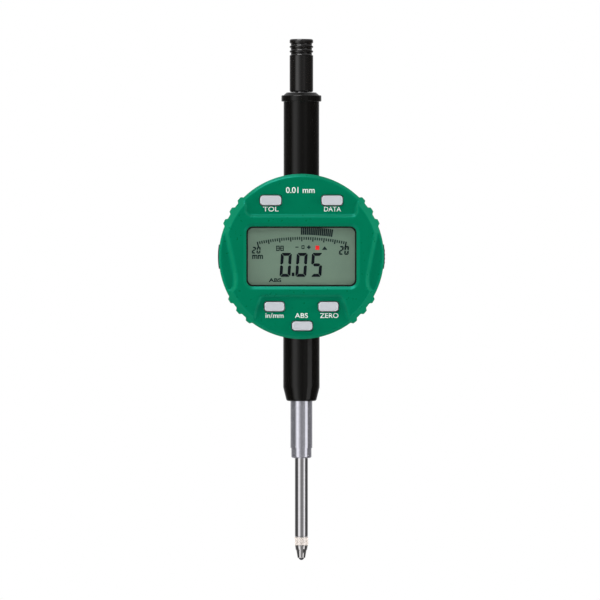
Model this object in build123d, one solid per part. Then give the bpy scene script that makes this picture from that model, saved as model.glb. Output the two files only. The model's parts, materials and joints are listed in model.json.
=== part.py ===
from build123d import *
import math
import os

# Digital dial indicator with a 25.4 mm travel, drawn in millimetres.
# Frame: the origin is on the spindle's axis, half way along the clamping stem.
# +Z runs up the spindle, the display faces -Y and +X is to the reader's right.

# ---- running fits and small gaps
RUNNING_GAP = 0.03        # radial clearance of a shaft in its bush
PART_GAP = 0.15           # between a moving piece and the opening round it

# ---- spindle line, from the bottom up
SPINDLE_R = 2.375
CONTACT_TIP_Z = -49.4
BALL_R = 1.0
CONTACT_END_Z = -48.7
CONTACT_TOP_Z = -44.3
CONTACT_BASE_R = 2.5      # the base that is gripped to unscrew the contact
SPINDLE_END_Z = -40.8
STUD_R = 1.25
STUD_LENGTH = 6.0
STEM_R = 4.0
STEM_HALF = 8.55          # half of the clamping length
STEM_NOSE_R = 3.7
STEM_NOSE = 3.7
STEM_SHANK_R = 4.4        # the part pressed into the sleeve
STEM_TOP_Z = 31.0
STEM_BORE_R = 2.7
BUSH_R = 3.1
BUSH_LENGTH = 7.7
SLEEVE_R = 6.65
SLEEVE_END_R = 5.4
SLEEVE_CONE_TOP_Z = 13.6
SLEEVE_TOP_Z = 37.5
TUBE_R = 6.5
TUBE_BORE_R = 4.8
TUBE_BOTTOM_Z = 85.0
CAP_FLANGE_R = 7.3
CAP_BOTTOM_Z = 117.7
CAP_RIM_Z = 120.0
CAP_TOP_Z = 121.0
CAP_PLUG_Z = 114.2        # the plug's lower end, where the return spring bears
TOP_BUSH_R = 3.5
KNOB_R = 4.3
KNOB_TOP_Z = 140.5
KNOB_BORE_Z = 133.0
KNOB_GROOVES_Z = (138.5, 136.8, 135.1)

# ---- dial, seen from the front
DIAL_Z = 61.2             # height of the dial's centre
DIAL_R = 30.0
FACE_R = 27.8             # inside the sloping rim
GRIP_R = 1.7
GRIP_CENTRE_R = 29.15
GRIP_ANGLES = (24.4, 33.6, 42.8, -31.8, -41.2, -50.6)
WINDOW_W = 40.0
WINDOW_H = 21.8
WINDOW_CORNER = 2.3
BUTTON_CORNER = 1.1
# name: centre right of the dial's axis, centre above it, width, height
BUTTONS = {
    "button_tol": (-11.15, 20.35, 7.5, 3.45),
    "button_data": (11.15, 20.35, 7.5, 3.45),
    "button_in_mm": (-9.8, -18.2, 7.1, 3.35),
    "button_zero": (9.8, -18.2, 7.1, 3.35),
    "button_abs": (0.3, -25.2, 7.25, 3.2),
}

# ---- depths of the display unit, front to back (the front is at low Y)
BUTTON_FRONT_Y = -17.8
FACE_Y = -17.5
PANEL_Y = -17.0           # floor of the recessed panels
PANEL_SLOPE = 0.6         # half the width of the slope round a panel
WINDOW_SEAT_Y = -16.4
RIM_Y = -15.6             # where the sloping rim meets the side wall
WINDOW_BACK_Y = -15.5
CASE_INSIDE_Y = -15.2
LCD_BACK_Y = -13.4
MAT_Y = -12.6
PCB_Y = -11.6
PCB_THICK = 1.0
RING_FLANGE_Y = -10.3
BACK_PLATE_Y = -9.4
DISPLAY_BACK_Y = -7.9
CASE_WALL = 2.0

# ---- depths of the measuring body
HOUSING_R = 28.5
HOUSING_Y = -7.5
HOUSING_FLOOR_Y = -5.9
HOUSING_REAR_Y = 7.4
COVER_REAR_Y = 9.8
HOUSING_WALL = 2.0
LUG_PLATE_Y = 11.8
LUG_HOLE_Y = 19.4
LUG_HOLE_R = 3.25
LUG_END_R = 6.5
LUG_THICK = 5.0

# ---- inside the measuring body
GUIDE_X = 12.0
GUIDE_R = 1.25
GUIDE_BOTTOM_Z = 36.5
GUIDE_TOP_Z = 79.5
CARRIAGE_BOTTOM_Z = 39.5
CARRIAGE_TOP_Z = 49.5
CARRIAGE_FRONT_Y = -3.6
CLAMP_SCREW_R = 1.0
CLAMP_SCREW_UP = (CARRIAGE_BOTTOM_Z + CARRIAGE_TOP_Z) / 2 - DIAL_Z
SPRING_COLLAR_Z = 80.0
SPRING_R = 3.9            # mean radius of the return spring
SPRING_WIRE = 0.25        # radius of its wire
SPRING_TURNS = 14
CELL_R = 10.0             # coin cell
CELL_THICK = 3.2
CELL_X = -16.7
DRAWER_FRONT_Y = -5.6
DRAWER_BACK_Y = -1.5
DRAWER_HALF = 11.2
LIP_R = 30.4
LIP_HALF = 4.4
PORT_HALF = 3.7
PORT_FRONT_Y = -1.5
PORT_BACK_Y = 4.6
PORT_GAP = 0.2            # round the data connector
SCREW_AT = 17.3           # housing screws, across and up from the dial's axis
CASE_SCREW_X = 19.7
CASE_SCREW_Z = 15.4


# ---------------------------------------------------------------- simple solids
def rod(radius, z0, z1, x=0.0, y=0.0):
    """A cylinder along Z between two heights."""
    return Pos(x, y, (z0 + z1) / 2) * Cylinder(radius, z1 - z0)


def tube(outer, inner, z0, z1):
    """A tube round the spindle's axis."""
    return rod(outer, z0, z1) - rod(inner, z0 - 1, z1 + 1)


def block(x0, x1, y0, y1, z0, z1):
    """A box between two corners."""
    centre = Pos((x0 + x1) / 2, (y0 + y1) / 2, (z0 + z1) / 2)
    return centre * Box(x1 - x0, y1 - y0, z1 - z0)


def side_block(x0, x1, y0, y1, half, grow=0.0):
    """A box half as high each way from the dial's axis, grown in depth and height."""
    low = DIAL_Z - half - grow
    high = DIAL_Z + half + grow
    return block(x0, x1, y0 - grow, y1 + grow, low, high)


def dial_plane(y):
    """The plane parallel to the dial at depth y, with its normal out of the dial."""
    return Plane(origin=(0, y, DIAL_Z), x_dir=(1, 0, 0), z_dir=(0, -1, 0))


def slab(outline, y0, y1):
    """A flat outline on the dial made solid from depth y0 back to depth y1."""
    return extrude(dial_plane(y1) * outline, amount=y1 - y0)


def disc(radius, y0, y1, x=0.0, up=0.0):
    """A round slab centred x across and up from the dial's axis."""
    return slab(Pos(x, up) * Circle(radius), y0, y1)


def sloped_cut(front, floor, y0, y1):
    """A recess with sloping walls, from its outline at y0 to its floor at y1."""
    return loft([dial_plane(y0) * front, dial_plane(y1) * floor])


def turned(points):
    """A solid of revolution about Z from (radius, height) points."""
    profile = make_face(Polyline(*[(r, 0, z) for r, z in points], close=True))
    return revolve(profile, axis=Axis.Z)


def corners(x, up):
    """The four places x across and up from the dial's axis, mirrored both ways."""
    return [(sx * x, sz * up) for sx in (-1, 1) for sz in (-1, 1)]


def screw(head_r, head_thick, shank_r, length):
    """A cross-head screw with its head's top on the XY plane and its shank down -Z."""
    head = Pos(0, 0, -head_thick / 2) * Cylinder(head_r, head_thick)
    shank = Pos(0, 0, -head_thick - length / 2) * Cylinder(shank_r, length)
    drive = Box(head_r * 1.3, head_r * 0.28, head_thick) + Box(head_r * 0.28, head_r * 1.3, head_thick)
    return head + shank - drive


def facing_back(x, up, y):
    """Where a screw stands when its head faces the back of the instrument."""
    return Plane(origin=(x, y, DIAL_Z + up), x_dir=(1, 0, 0), z_dir=(0, 1, 0)).location


def facing_front(x, up, y):
    """Where a screw stands when its head faces the dial's side."""
    return Plane(origin=(x, y, DIAL_Z + up), x_dir=(1, 0, 0), z_dir=(0, -1, 0)).location


# ---------------------------------------------------------------- stem, sleeve and tube
def make_stem():
    """The hardened clamping stem and its thicker shank, with a seat for a bush at each end."""
    nose_z = -STEM_HALF - STEM_NOSE
    nose = rod(STEM_NOSE_R, nose_z, -STEM_HALF)
    nose = fillet(nose.edges().filter_by(GeomType.CIRCLE).sort_by(Axis.Z)[0], 0.7)
    barrel = nose + rod(STEM_R, -STEM_HALF, STEM_HALF) + rod(STEM_SHANK_R, STEM_HALF, STEM_TOP_Z)
    bore = rod(STEM_BORE_R, nose_z - 1, STEM_TOP_Z + 1)
    low_seat = rod(BUSH_R, nose_z - 1, nose_z + BUSH_LENGTH)
    high_seat = rod(BUSH_R, STEM_TOP_Z - BUSH_LENGTH, STEM_TOP_Z + 1)
    return barrel - bore - low_seat - high_seat


def make_lower_bush():
    """Plain bearing in the nose of the stem, set back a little from its end."""
    nose_z = -STEM_HALF - STEM_NOSE
    return tube(BUSH_R, SPINDLE_R + RUNNING_GAP, nose_z + 0.3, nose_z + BUSH_LENGTH)


def make_middle_bush():
    """Plain bearing in the top of the stem."""
    return tube(BUSH_R, SPINDLE_R + RUNNING_GAP, STEM_TOP_Z - BUSH_LENGTH, STEM_TOP_Z)


def make_lower_sleeve():
    """The black sleeve that carries the stem into the housing."""
    body = turned([
        (0, STEM_HALF), (SLEEVE_END_R, STEM_HALF), (SLEEVE_R, SLEEVE_CONE_TOP_Z),
        (SLEEVE_R, SLEEVE_TOP_Z), (0, SLEEVE_TOP_Z),
    ])
    body = fillet(body.edges().filter_by(GeomType.CIRCLE).sort_by(Axis.Z)[0], 0.9)
    body -= rod(STEM_SHANK_R, STEM_HALF - 1, STEM_TOP_Z)
    return body - rod(STEM_BORE_R, STEM_TOP_Z - 1, SLEEVE_TOP_Z + 1)


def make_upper_tube():
    """The black tube over the housing, in which the return spring works."""
    return tube(TUBE_R, TUBE_BORE_R, TUBE_BOTTOM_Z, CAP_BOTTOM_Z)


def make_top_cap():
    """The flanged cap that closes the tube and holds the top bush."""
    flange = rod(CAP_FLANGE_R, CAP_BOTTOM_Z, CAP_RIM_Z)
    flange = fillet(flange.edges().filter_by(GeomType.CIRCLE), 0.35)
    dome = turned([
        (0, CAP_RIM_Z - 0.5), (6.45, CAP_RIM_Z - 0.5), (6.45, CAP_RIM_Z + 0.1),
        (5.4, CAP_TOP_Z), (0, CAP_TOP_Z),
    ])
    plug = rod(TUBE_BORE_R, CAP_PLUG_Z, CAP_BOTTOM_Z + 0.5)
    return flange + dome + plug - rod(TOP_BUSH_R, CAP_PLUG_Z - 1, CAP_TOP_Z + 1)


def make_top_bush():
    """Plain bearing at the top of the tube."""
    return tube(TOP_BUSH_R, SPINDLE_R + RUNNING_GAP, CAP_PLUG_Z, CAP_TOP_Z - 0.3)


def make_return_spring():
    """Compression spring round the spindle, between its collar and the cap's plug."""
    low = SPRING_COLLAR_Z + SPRING_WIRE + 0.02
    height = CAP_PLUG_Z - SPRING_WIRE - 0.02 - low
    path = Helix(pitch=height / SPRING_TURNS, height=height, radius=SPRING_R, center=(0, 0, low))
    section = Plane(origin=path @ 0, z_dir=path % 0) * Circle(SPRING_WIRE)
    return sweep(section, path=path, is_frenet=True)


# ---------------------------------------------------------------- measuring body
def make_main_housing():
    """The round shell behind the display, open at the back, with its inner fixings."""
    shell = disc(HOUSING_R, HOUSING_Y, HOUSING_REAR_Y)
    front_edge = shell.edges().filter_by(GeomType.CIRCLE).sort_by(Axis.Y)[0]
    shell = fillet(front_edge, 0.8)
    cavity = disc(HOUSING_R - HOUSING_WALL, HOUSING_FLOOR_Y, HOUSING_REAR_Y + 1)
    inside = disc(HOUSING_R - HOUSING_WALL / 2, HOUSING_FLOOR_Y - 0.5, HOUSING_REAR_Y)
    fixings = block(-9, 9, -7, HOUSING_REAR_Y, 32, SLEEVE_TOP_Z)
    fixings += block(-9, 9, -7, HOUSING_REAR_Y, TUBE_BOTTOM_Z, 90)
    fixings += block(GUIDE_X - 2.5, GUIDE_X + 2.5, -7, 2.5, 33, CARRIAGE_BOTTOM_Z - 0.7)
    fixings += block(GUIDE_X - 2.5, GUIDE_X + 2.5, -7, 2.5, GUIDE_TOP_Z - 2.5, GUIDE_TOP_Z + 1)
    for x, up in corners(SCREW_AT, SCREW_AT):
        fixings += disc(2.6, HOUSING_FLOOR_Y - 0.5, HOUSING_REAR_Y, x, up)
    for side in (-1, 1):
        near = DIAL_Z + side * (DRAWER_HALF + 0.2)
        far = DIAL_Z + side * (DRAWER_HALF + 1.4)
        fixings += block(-26, -7, -7, -2, min(near, far), max(near, far))
    housing = shell - cavity + (fixings & inside)
    housing -= rod(SLEEVE_R, 25, SLEEVE_TOP_Z + 1)
    housing -= rod(TUBE_R, TUBE_BOTTOM_Z - 1, 95)
    housing -= rod(GUIDE_R, GUIDE_BOTTOM_Z, GUIDE_TOP_Z, GUIDE_X)
    housing -= side_block(-32, -24, DRAWER_FRONT_Y, DRAWER_BACK_Y, DRAWER_HALF, PART_GAP)
    housing -= side_block(24, 32, PORT_FRONT_Y, PORT_BACK_Y, PORT_HALF, PORT_GAP)
    for x, up in corners(SCREW_AT, SCREW_AT):
        housing -= disc(1.0, -3, HOUSING_REAR_Y + 1, x, up)
    for x, up in ring_screw_places():
        housing -= disc(0.8, HOUSING_Y - 1, HOUSING_FLOOR_Y + 1, x, up)
    return housing - make_back_seal()


def make_back_seal():
    """Rubber seal in a groove in the housing's rear rim."""
    outer = disc(HOUSING_R - 0.6, HOUSING_REAR_Y - 0.6, HOUSING_REAR_Y)
    return outer - disc(HOUSING_R - 1.4, HOUSING_REAR_Y - 2, HOUSING_REAR_Y + 1)


def make_back_cover():
    """The round cover over the back of the housing."""
    cover = disc(HOUSING_R, HOUSING_REAR_Y, COVER_REAR_Y)
    rear_edge = cover.edges().filter_by(GeomType.CIRCLE).sort_by(Axis.Y)[-1]
    cover = fillet(rear_edge, 1.2)
    for x, up in corners(SCREW_AT, SCREW_AT):
        cover -= disc(1.0, 0, 20, x, up) + disc(2.2, COVER_REAR_Y - 1.3, 20, x, up)
    for x, up in corners(6.2, 4.0):
        cover -= disc(1.1, 0, 20, x, up)
    return cover


def make_back_lug():
    """The lug for a clamping bolt, on a round base screwed to the cover."""
    base = disc(10.0, COVER_REAR_Y, LUG_PLATE_Y)
    base = fillet(base.edges().filter_by(GeomType.CIRCLE).sort_by(Axis.Y)[-1], 0.6)
    ear = side_block(-LUG_THICK / 2, LUG_THICK / 2, COVER_REAR_Y + 1, LUG_HOLE_Y, LUG_END_R)
    along_x = Plane(origin=(0, LUG_HOLE_Y, DIAL_Z), x_dir=(0, 1, 0), z_dir=(1, 0, 0)).location
    ear += along_x * Cylinder(LUG_END_R, LUG_THICK)
    ear -= along_x * Cylinder(LUG_HOLE_R, LUG_THICK + 2)
    lug = base + ear
    for x, up in corners(6.2, 4.0):
        lug -= disc(1.1, 0, 20, x, up) + disc(2.0, LUG_PLATE_Y - 1.2, 20, x, up)
    return lug


def make_back_screws():
    """The four screws that hold the back cover."""
    one = screw(2.1, 1.1, 0.95, 9.0)
    return [facing_back(x, up, COVER_REAR_Y - 0.15) * one for x, up in corners(SCREW_AT, SCREW_AT)]


def make_lug_screws():
    """The four screws that hold the lug."""
    one = screw(1.9, 1.0, 1.05, 3.2)
    return [facing_back(x, up, LUG_PLATE_Y - 0.15) * one for x, up in corners(6.2, 4.0)]


def make_guide_rod():
    """The rod beside the spindle that stops it turning."""
    return rod(GUIDE_R, GUIDE_BOTTOM_Z, GUIDE_TOP_Z, GUIDE_X)


def make_reading_head():
    """The circuit board that reads the moving scale, with its larger chips."""
    board = block(-22.5, 22.5, 4.6, 5.8, DIAL_Z - 12, DIAL_Z + 12)
    board += block(-9, 4, 5.8, 6.3, DIAL_Z - 9, DIAL_Z + 4)
    return board + block(8, 13, 5.8, 6.3, DIAL_Z - 3, DIAL_Z + 2)


def make_battery_contacts():
    """Two sprung strips from the board down to the coin cell."""
    strips = []
    for low in (-5.0, 1.0):
        z0 = DIAL_Z + low
        leaf = block(-21, -11, -1.3, -1.1, z0, z0 + 4)
        leaf += block(-21, -20.8, -1.3, 4.6, z0, z0 + 4)
        strips.append(leaf)
    return strips


def make_data_connector():
    """The socket for a data cable, with five flat contacts along its rear wall."""
    shell = side_block(19, 26.3, PORT_FRONT_Y, PORT_BACK_Y, PORT_HALF)
    hollow = side_block(20.5, 27, PORT_FRONT_Y, PORT_BACK_Y, PORT_HALF, -0.6)
    shell -= hollow
    for count in range(-2, 3):
        z = DIAL_Z + count * 1.1
        shell += block(20, 25.5, PORT_BACK_Y - 0.8, PORT_BACK_Y - 0.5, z - 0.25, z + 0.25)
    return shell


# ---------------------------------------------------------------- turning joint of the display
def ring_screw_places():
    """Three places round the turning ring."""
    return [(8.0 * math.cos(math.radians(a)), 8.0 * math.sin(math.radians(a))) for a in (90, 210, 330)]


def make_turning_ring():
    """The flanged ring on the housing's front that the display turns on."""
    ring = disc(10.0, RING_FLANGE_Y, HOUSING_Y) + disc(11.6, RING_FLANGE_Y, RING_FLANGE_Y + 0.6)
    ring -= disc(5.5, -20, 0)
    for x, up in ring_screw_places():
        ring -= disc(0.8, -20, 0, x, up) + disc(1.5, -20, RING_FLANGE_Y + 1.0, x, up)
    return ring


def make_ring_screws():
    """The three screws that hold the turning ring."""
    one = screw(1.4, 0.9, 0.75, 3.2)
    return [facing_front(x, up, RING_FLANGE_Y + 0.1) * one for x, up in ring_screw_places()]


# ---------------------------------------------------------------- spindle and what it carries
def make_spindle():
    """The measuring spindle, with a threaded hole for the contact in its lower end."""
    shaft = rod(SPINDLE_R, SPINDLE_END_Z, KNOB_BORE_Z)
    shaft = chamfer(shaft.edges().filter_by(GeomType.CIRCLE), 0.2)
    return shaft - rod(STUD_R, SPINDLE_END_Z - 1, SPINDLE_END_Z + STUD_LENGTH)


def make_contact_point():
    """The contact: stud, gripping base and stepped cone, hollowed for the ball."""
    cone = turned([
        (0, CONTACT_END_Z), (1.5, CONTACT_END_Z), (1.8, CONTACT_TOP_Z - 1.5), (1.95, CONTACT_TOP_Z - 1.3),
        (2.2, CONTACT_TOP_Z), (0, CONTACT_TOP_Z),
    ])
    base = chamfer(rod(CONTACT_BASE_R, CONTACT_TOP_Z, SPINDLE_END_Z).edges().filter_by(GeomType.CIRCLE), 0.25)
    stud = rod(STUD_R, CONTACT_TOP_Z, SPINDLE_END_Z + STUD_LENGTH - 0.3)
    return cone + base + stud - make_contact_ball()


def make_contact_ball():
    """The hard ball that touches the work."""
    return Pos(0, 0, CONTACT_TIP_Z + BALL_R) * Sphere(BALL_R)


def make_lifting_knob():
    """The grooved knob on the spindle's upper end."""
    bottom = CAP_TOP_Z + PART_GAP
    knob = rod(KNOB_R, bottom, KNOB_TOP_Z)
    for z in KNOB_GROOVES_Z:
        knob -= Pos(0, 0, z) * Torus(KNOB_R + 0.15, 0.6)
    ends = knob.edges().filter_by(GeomType.CIRCLE).sort_by(Axis.Z)
    knob = fillet([ends[0], ends[-1]], 0.65)
    return knob - rod(SPINDLE_R, bottom - 1, KNOB_BORE_Z)


def make_carriage():
    """The block clamped on the spindle that runs on the guide rod."""
    body = block(-5.5, 14.6, CARRIAGE_FRONT_Y, 3.0, CARRIAGE_BOTTOM_Z, CARRIAGE_TOP_Z)
    body += block(-10.5, -5.0, 1.5, 3.0, CARRIAGE_BOTTOM_Z, CARRIAGE_TOP_Z)
    body -= rod(SPINDLE_R, 30, 60)
    body -= rod(GUIDE_R + RUNNING_GAP, 30, 60, GUIDE_X)
    return body - disc(CLAMP_SCREW_R, CARRIAGE_FRONT_Y, 0, 0, CLAMP_SCREW_UP)


def make_carriage_screw():
    """The grub screw that locks the carriage on the spindle."""
    grub = disc(CLAMP_SCREW_R, CARRIAGE_FRONT_Y, -SPINDLE_R, 0, CLAMP_SCREW_UP)
    return grub - disc(0.45, -5, CARRIAGE_FRONT_Y + 0.6, 0, CLAMP_SCREW_UP)


def make_scale_strip():
    """The graduated strip on the carriage, read by the board behind it."""
    return block(-10.5, -3.5, 3.0, 4.1, CARRIAGE_BOTTOM_Z - 1.5, CARRIAGE_BOTTOM_Z + 18.5)


def make_spring_collar():
    """The collar on the spindle that the return spring pushes down on."""
    return tube(4.3, SPINDLE_R, SPRING_COLLAR_Z - 2, SPRING_COLLAR_Z)


# ---------------------------------------------------------------- display unit
def upper_panel(grow):
    """Outline of the recessed panel above the window."""
    return Pos(0, 25.0) * RectangleRounded(2 * (19.7 + grow), 2 * (10.25 + grow), 2.0)


def lower_panel(grow):
    """Outline of the recessed panel below the window."""
    points = [
        (-15.2 - grow, -14.3 + grow), (15.2 + grow, -14.3 + grow),
        (18.4 + grow, -32.0), (-18.4 - grow, -32.0),
    ]
    face = make_face(Polyline(*points, close=True))
    top = face.vertices().sort_by(Axis.Y)[-2:]
    return fillet(top, 1.8)


def side_leaf(side, grow):
    """Outline of the long hollow at one side, which runs out through the sloping rim."""
    points = [(26.7, 6.5), (24.0, -6.4), (23.9, -10.0), (25.2, -13.0), (32.0, -13.0), (32.0, 6.5)]
    moved = [(side * (x - grow), up) for x, up in points]
    return make_face(Polyline(*moved, close=True))


def left_leaf(grow):
    """The hollow at the left."""
    return side_leaf(-1, grow)


def right_leaf(grow):
    """The hollow at the right."""
    return side_leaf(1, grow)


def rounded(width, height, corner, x=0.0, up=0.0):
    """A rounded rectangle on the dial."""
    return Pos(x, up) * RectangleRounded(width, height, corner)


def make_front_case():
    """The moulded front of the display: rim, grips, panels, window and button holes."""
    case = disc(DIAL_R, RIM_Y, DISPLAY_BACK_Y)
    rim_height = RIM_Y - FACE_Y
    case += dial_plane(RIM_Y).location * Pos(0, 0, rim_height / 2) * Cone(DIAL_R, FACE_R, rim_height)
    for angle in GRIP_ANGLES:
        for heading in (angle, 180 - angle):
            turn = math.radians(heading)
            x = GRIP_CENTRE_R * math.cos(turn)
            up = GRIP_CENTRE_R * math.sin(turn)
            case += disc(GRIP_R, RIM_Y + 0.4, DISPLAY_BACK_Y - 0.5, x, up)
    case -= disc(DIAL_R - CASE_WALL, CASE_INSIDE_Y, 0)
    for x, up in corners(CASE_SCREW_X, CASE_SCREW_Z):
        case += disc(2.0, CASE_INSIDE_Y - 0.3, BACK_PLATE_Y, x, up)
        case -= disc(0.8, CASE_INSIDE_Y + 1, 0, x, up)
    for outline in (upper_panel, lower_panel, left_leaf, right_leaf):
        case -= sloped_cut(outline(PANEL_SLOPE), outline(-PANEL_SLOPE), FACE_Y, PANEL_Y)
    bevel_front = rounded(WINDOW_W + 2.4, WINDOW_H + 2.4, WINDOW_CORNER + 1.2)
    bevel_back = rounded(WINDOW_W, WINDOW_H, WINDOW_CORNER)
    case -= sloped_cut(bevel_front, bevel_back, FACE_Y, WINDOW_SEAT_Y - 0.4)
    case -= slab(bevel_back, FACE_Y - 1, 0)
    case -= slab(rounded(WINDOW_W + 3.2, WINDOW_H + 2.6, 1.0), WINDOW_SEAT_Y, 0)
    for x, up, width, height in BUTTONS.values():
        case -= slab(rounded(width + 0.5, height + 0.5, BUTTON_CORNER + 0.25, x, up), -20, 0)
    return case


def make_lcd_window():
    """The clear window behind the opening of the front case."""
    return slab(rounded(WINDOW_W + 3.0, WINDOW_H + 2.4, 0.9), WINDOW_SEAT_Y, WINDOW_BACK_Y)


def make_lcd_panel():
    """The liquid crystal glass."""
    return slab(Rectangle(42.0, 23.6), CASE_INSIDE_Y - 0.1, LCD_BACK_Y)


def make_lcd_frame():
    """The frame that squares the liquid crystal glass on the board."""
    outer = slab(Rectangle(44.6, 26.0), CASE_INSIDE_Y, PCB_Y)
    ledge = slab(Rectangle(42.0, 17.5), CASE_INSIDE_Y - 1, 0)
    strips = slab(Rectangle(40.0, 23.6), CASE_INSIDE_Y - 1, 0)
    return outer - slab(Rectangle(42.0, 23.6), CASE_INSIDE_Y - 1, LCD_BACK_Y) - ledge - strips


def make_zebra_strips():
    """Two conductive rubber strips from the board to the edges of the glass."""
    return [slab(Pos(0, up) * Rectangle(38.0, 2.2), LCD_BACK_Y, PCB_Y) for up in (-10.4, 10.4)]


def make_display_pcb():
    """The display's circuit board with its driver chip behind."""
    board = disc(26.5, PCB_Y, PCB_Y + PCB_THICK)
    for x, up in corners(CASE_SCREW_X, CASE_SCREW_Z):
        board -= disc(2.2, -20, 0, x, up)
    return board + block(-6, 6, PCB_Y + PCB_THICK, PCB_Y + PCB_THICK + 0.9, DIAL_Z + 13, DIAL_Z + 21)


def make_keypad_mat():
    """The two rubber mats that return the buttons, above and below the glass."""
    mats = disc(26.0, MAT_Y, PCB_Y) & slab(Rectangle(34.4, 54.0), MAT_Y, PCB_Y)
    return mats - slab(Rectangle(45.2, 27.0), -20, 0)


def make_display_back():
    """The plate that closes the display and turns on the ring."""
    plate = disc(DIAL_R - CASE_WALL - 0.1, BACK_PLATE_Y, DISPLAY_BACK_Y)
    plate -= disc(10.0 + RUNNING_GAP, -20, 0)
    for x, up in corners(CASE_SCREW_X, CASE_SCREW_Z):
        plate -= disc(0.8, -20, 0, x, up) + disc(1.7, DISPLAY_BACK_Y - 0.9, 0, x, up)
    return plate


def make_display_screws():
    """The four screws through the display's back plate."""
    one = screw(1.5, 0.8, 0.75, 4.5)
    places = corners(CASE_SCREW_X, CASE_SCREW_Z)
    return [facing_back(x, up, DISPLAY_BACK_Y - 0.05) * one for x, up in places]


def make_button(x, up, width, height):
    """One key: the cap in the front, a flange behind the case and a foot on the mat."""
    cap = slab(rounded(width, height, BUTTON_CORNER, x, up), BUTTON_FRONT_Y, CASE_INSIDE_Y + 0.1)
    rim = cap.faces().sort_by(Axis.Y)[0].edges()
    cap = fillet(rim, 0.35)
    flange = rounded(width + 1.4, height + 1.4, BUTTON_CORNER, x, up)
    cap += slab(flange, CASE_INSIDE_Y + 0.1, CASE_INSIDE_Y + 0.8)
    foot = rounded(width - 2.5, height - 1.0, 0.6, x, up)
    return cap + slab(foot, CASE_INSIDE_Y, MAT_Y - 0.6)


# ---------------------------------------------------------------- battery drawer and data cover
def make_battery_drawer():
    """The tray for the coin cell, with a nail lip standing out of the housing's side."""
    tray = side_block(-30, -6.1, DRAWER_FRONT_Y, DRAWER_BACK_Y, DRAWER_HALF)
    tray &= disc(HOUSING_R, -10, 10)
    lip = side_block(-32, -24, DRAWER_FRONT_Y + 0.4, DRAWER_BACK_Y - 0.4, LIP_HALF)
    lip &= disc(LIP_R, -10, 10) - disc(HOUSING_R - 1.0, -20, 20)
    return tray + lip - disc(CELL_R + 0.2, DRAWER_FRONT_Y + 0.8, 0, CELL_X)


def make_battery():
    """The coin cell in the drawer."""
    front = DRAWER_FRONT_Y + 0.85
    cell = disc(CELL_R, front, front + CELL_THICK, CELL_X)
    return fillet(cell.edges().filter_by(GeomType.CIRCLE), 0.3)


def make_data_cover():
    """The cover over the data socket: a plug with a flange outside the housing."""
    plug = side_block(26.5, 30, PORT_FRONT_Y, PORT_BACK_Y, PORT_HALF)
    plug &= disc(HOUSING_R + 0.5, -10, 10)
    cap = side_block(24, 32, PORT_FRONT_Y - 1.0, PORT_BACK_Y + 0.8, LIP_HALF)
    cap &= disc(LIP_R, -10, 10) - disc(HOUSING_R + 0.1, -20, 20)
    return plug + cap


# ---------------------------------------------------------------- write one STEP file a node
NODES = {
    "stem": make_stem,
    "lower_bush": make_lower_bush,
    "middle_bush": make_middle_bush,
    "lower_sleeve": make_lower_sleeve,
    "upper_tube": make_upper_tube,
    "top_cap": make_top_cap,
    "top_bush": make_top_bush,
    "return_spring": make_return_spring,
    "main_housing": make_main_housing,
    "back_seal": make_back_seal,
    "back_cover": make_back_cover,
    "back_lug": make_back_lug,
    "back_screws": make_back_screws,
    "lug_screws": make_lug_screws,
    "guide_rod": make_guide_rod,
    "reading_head": make_reading_head,
    "battery_contacts": make_battery_contacts,
    "data_connector": make_data_connector,
    "turning_ring": make_turning_ring,
    "ring_screws": make_ring_screws,
    "spindle": make_spindle,
    "contact_point": make_contact_point,
    "contact_ball": make_contact_ball,
    "lifting_knob": make_lifting_knob,
    "carriage": make_carriage,
    "carriage_screw": make_carriage_screw,
    "scale_strip": make_scale_strip,
    "spring_collar": make_spring_collar,
    "front_case": make_front_case,
    "lcd_window": make_lcd_window,
    "lcd_panel": make_lcd_panel,
    "lcd_frame": make_lcd_frame,
    "zebra_strips": make_zebra_strips,
    "display_pcb": make_display_pcb,
    "keypad_mat": make_keypad_mat,
    "display_back": make_display_back,
    "display_screws": make_display_screws,
    "battery_drawer": make_battery_drawer,
    "battery": make_battery,
    "data_cover": make_data_cover,
}


def save(name, shape):
    """Write one node, which may be a group of separate solids."""
    if isinstance(shape, list):
        shape = Compound(children=[solid for part in shape for solid in part.solids()])
    export_step(shape, os.path.join("parts", name + ".step"))


os.makedirs("parts", exist_ok=True)
for node, make in NODES.items():
    save(node, make())
for node, (x, up, width, height) in BUTTONS.items():
    save(node, make_button(x, up, width, height))
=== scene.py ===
import json
import math

import bmesh
import bpy
import numpy as np
from mathutils import Matrix, Vector
from mathutils.geometry import delaunay_2d_cdt

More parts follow.
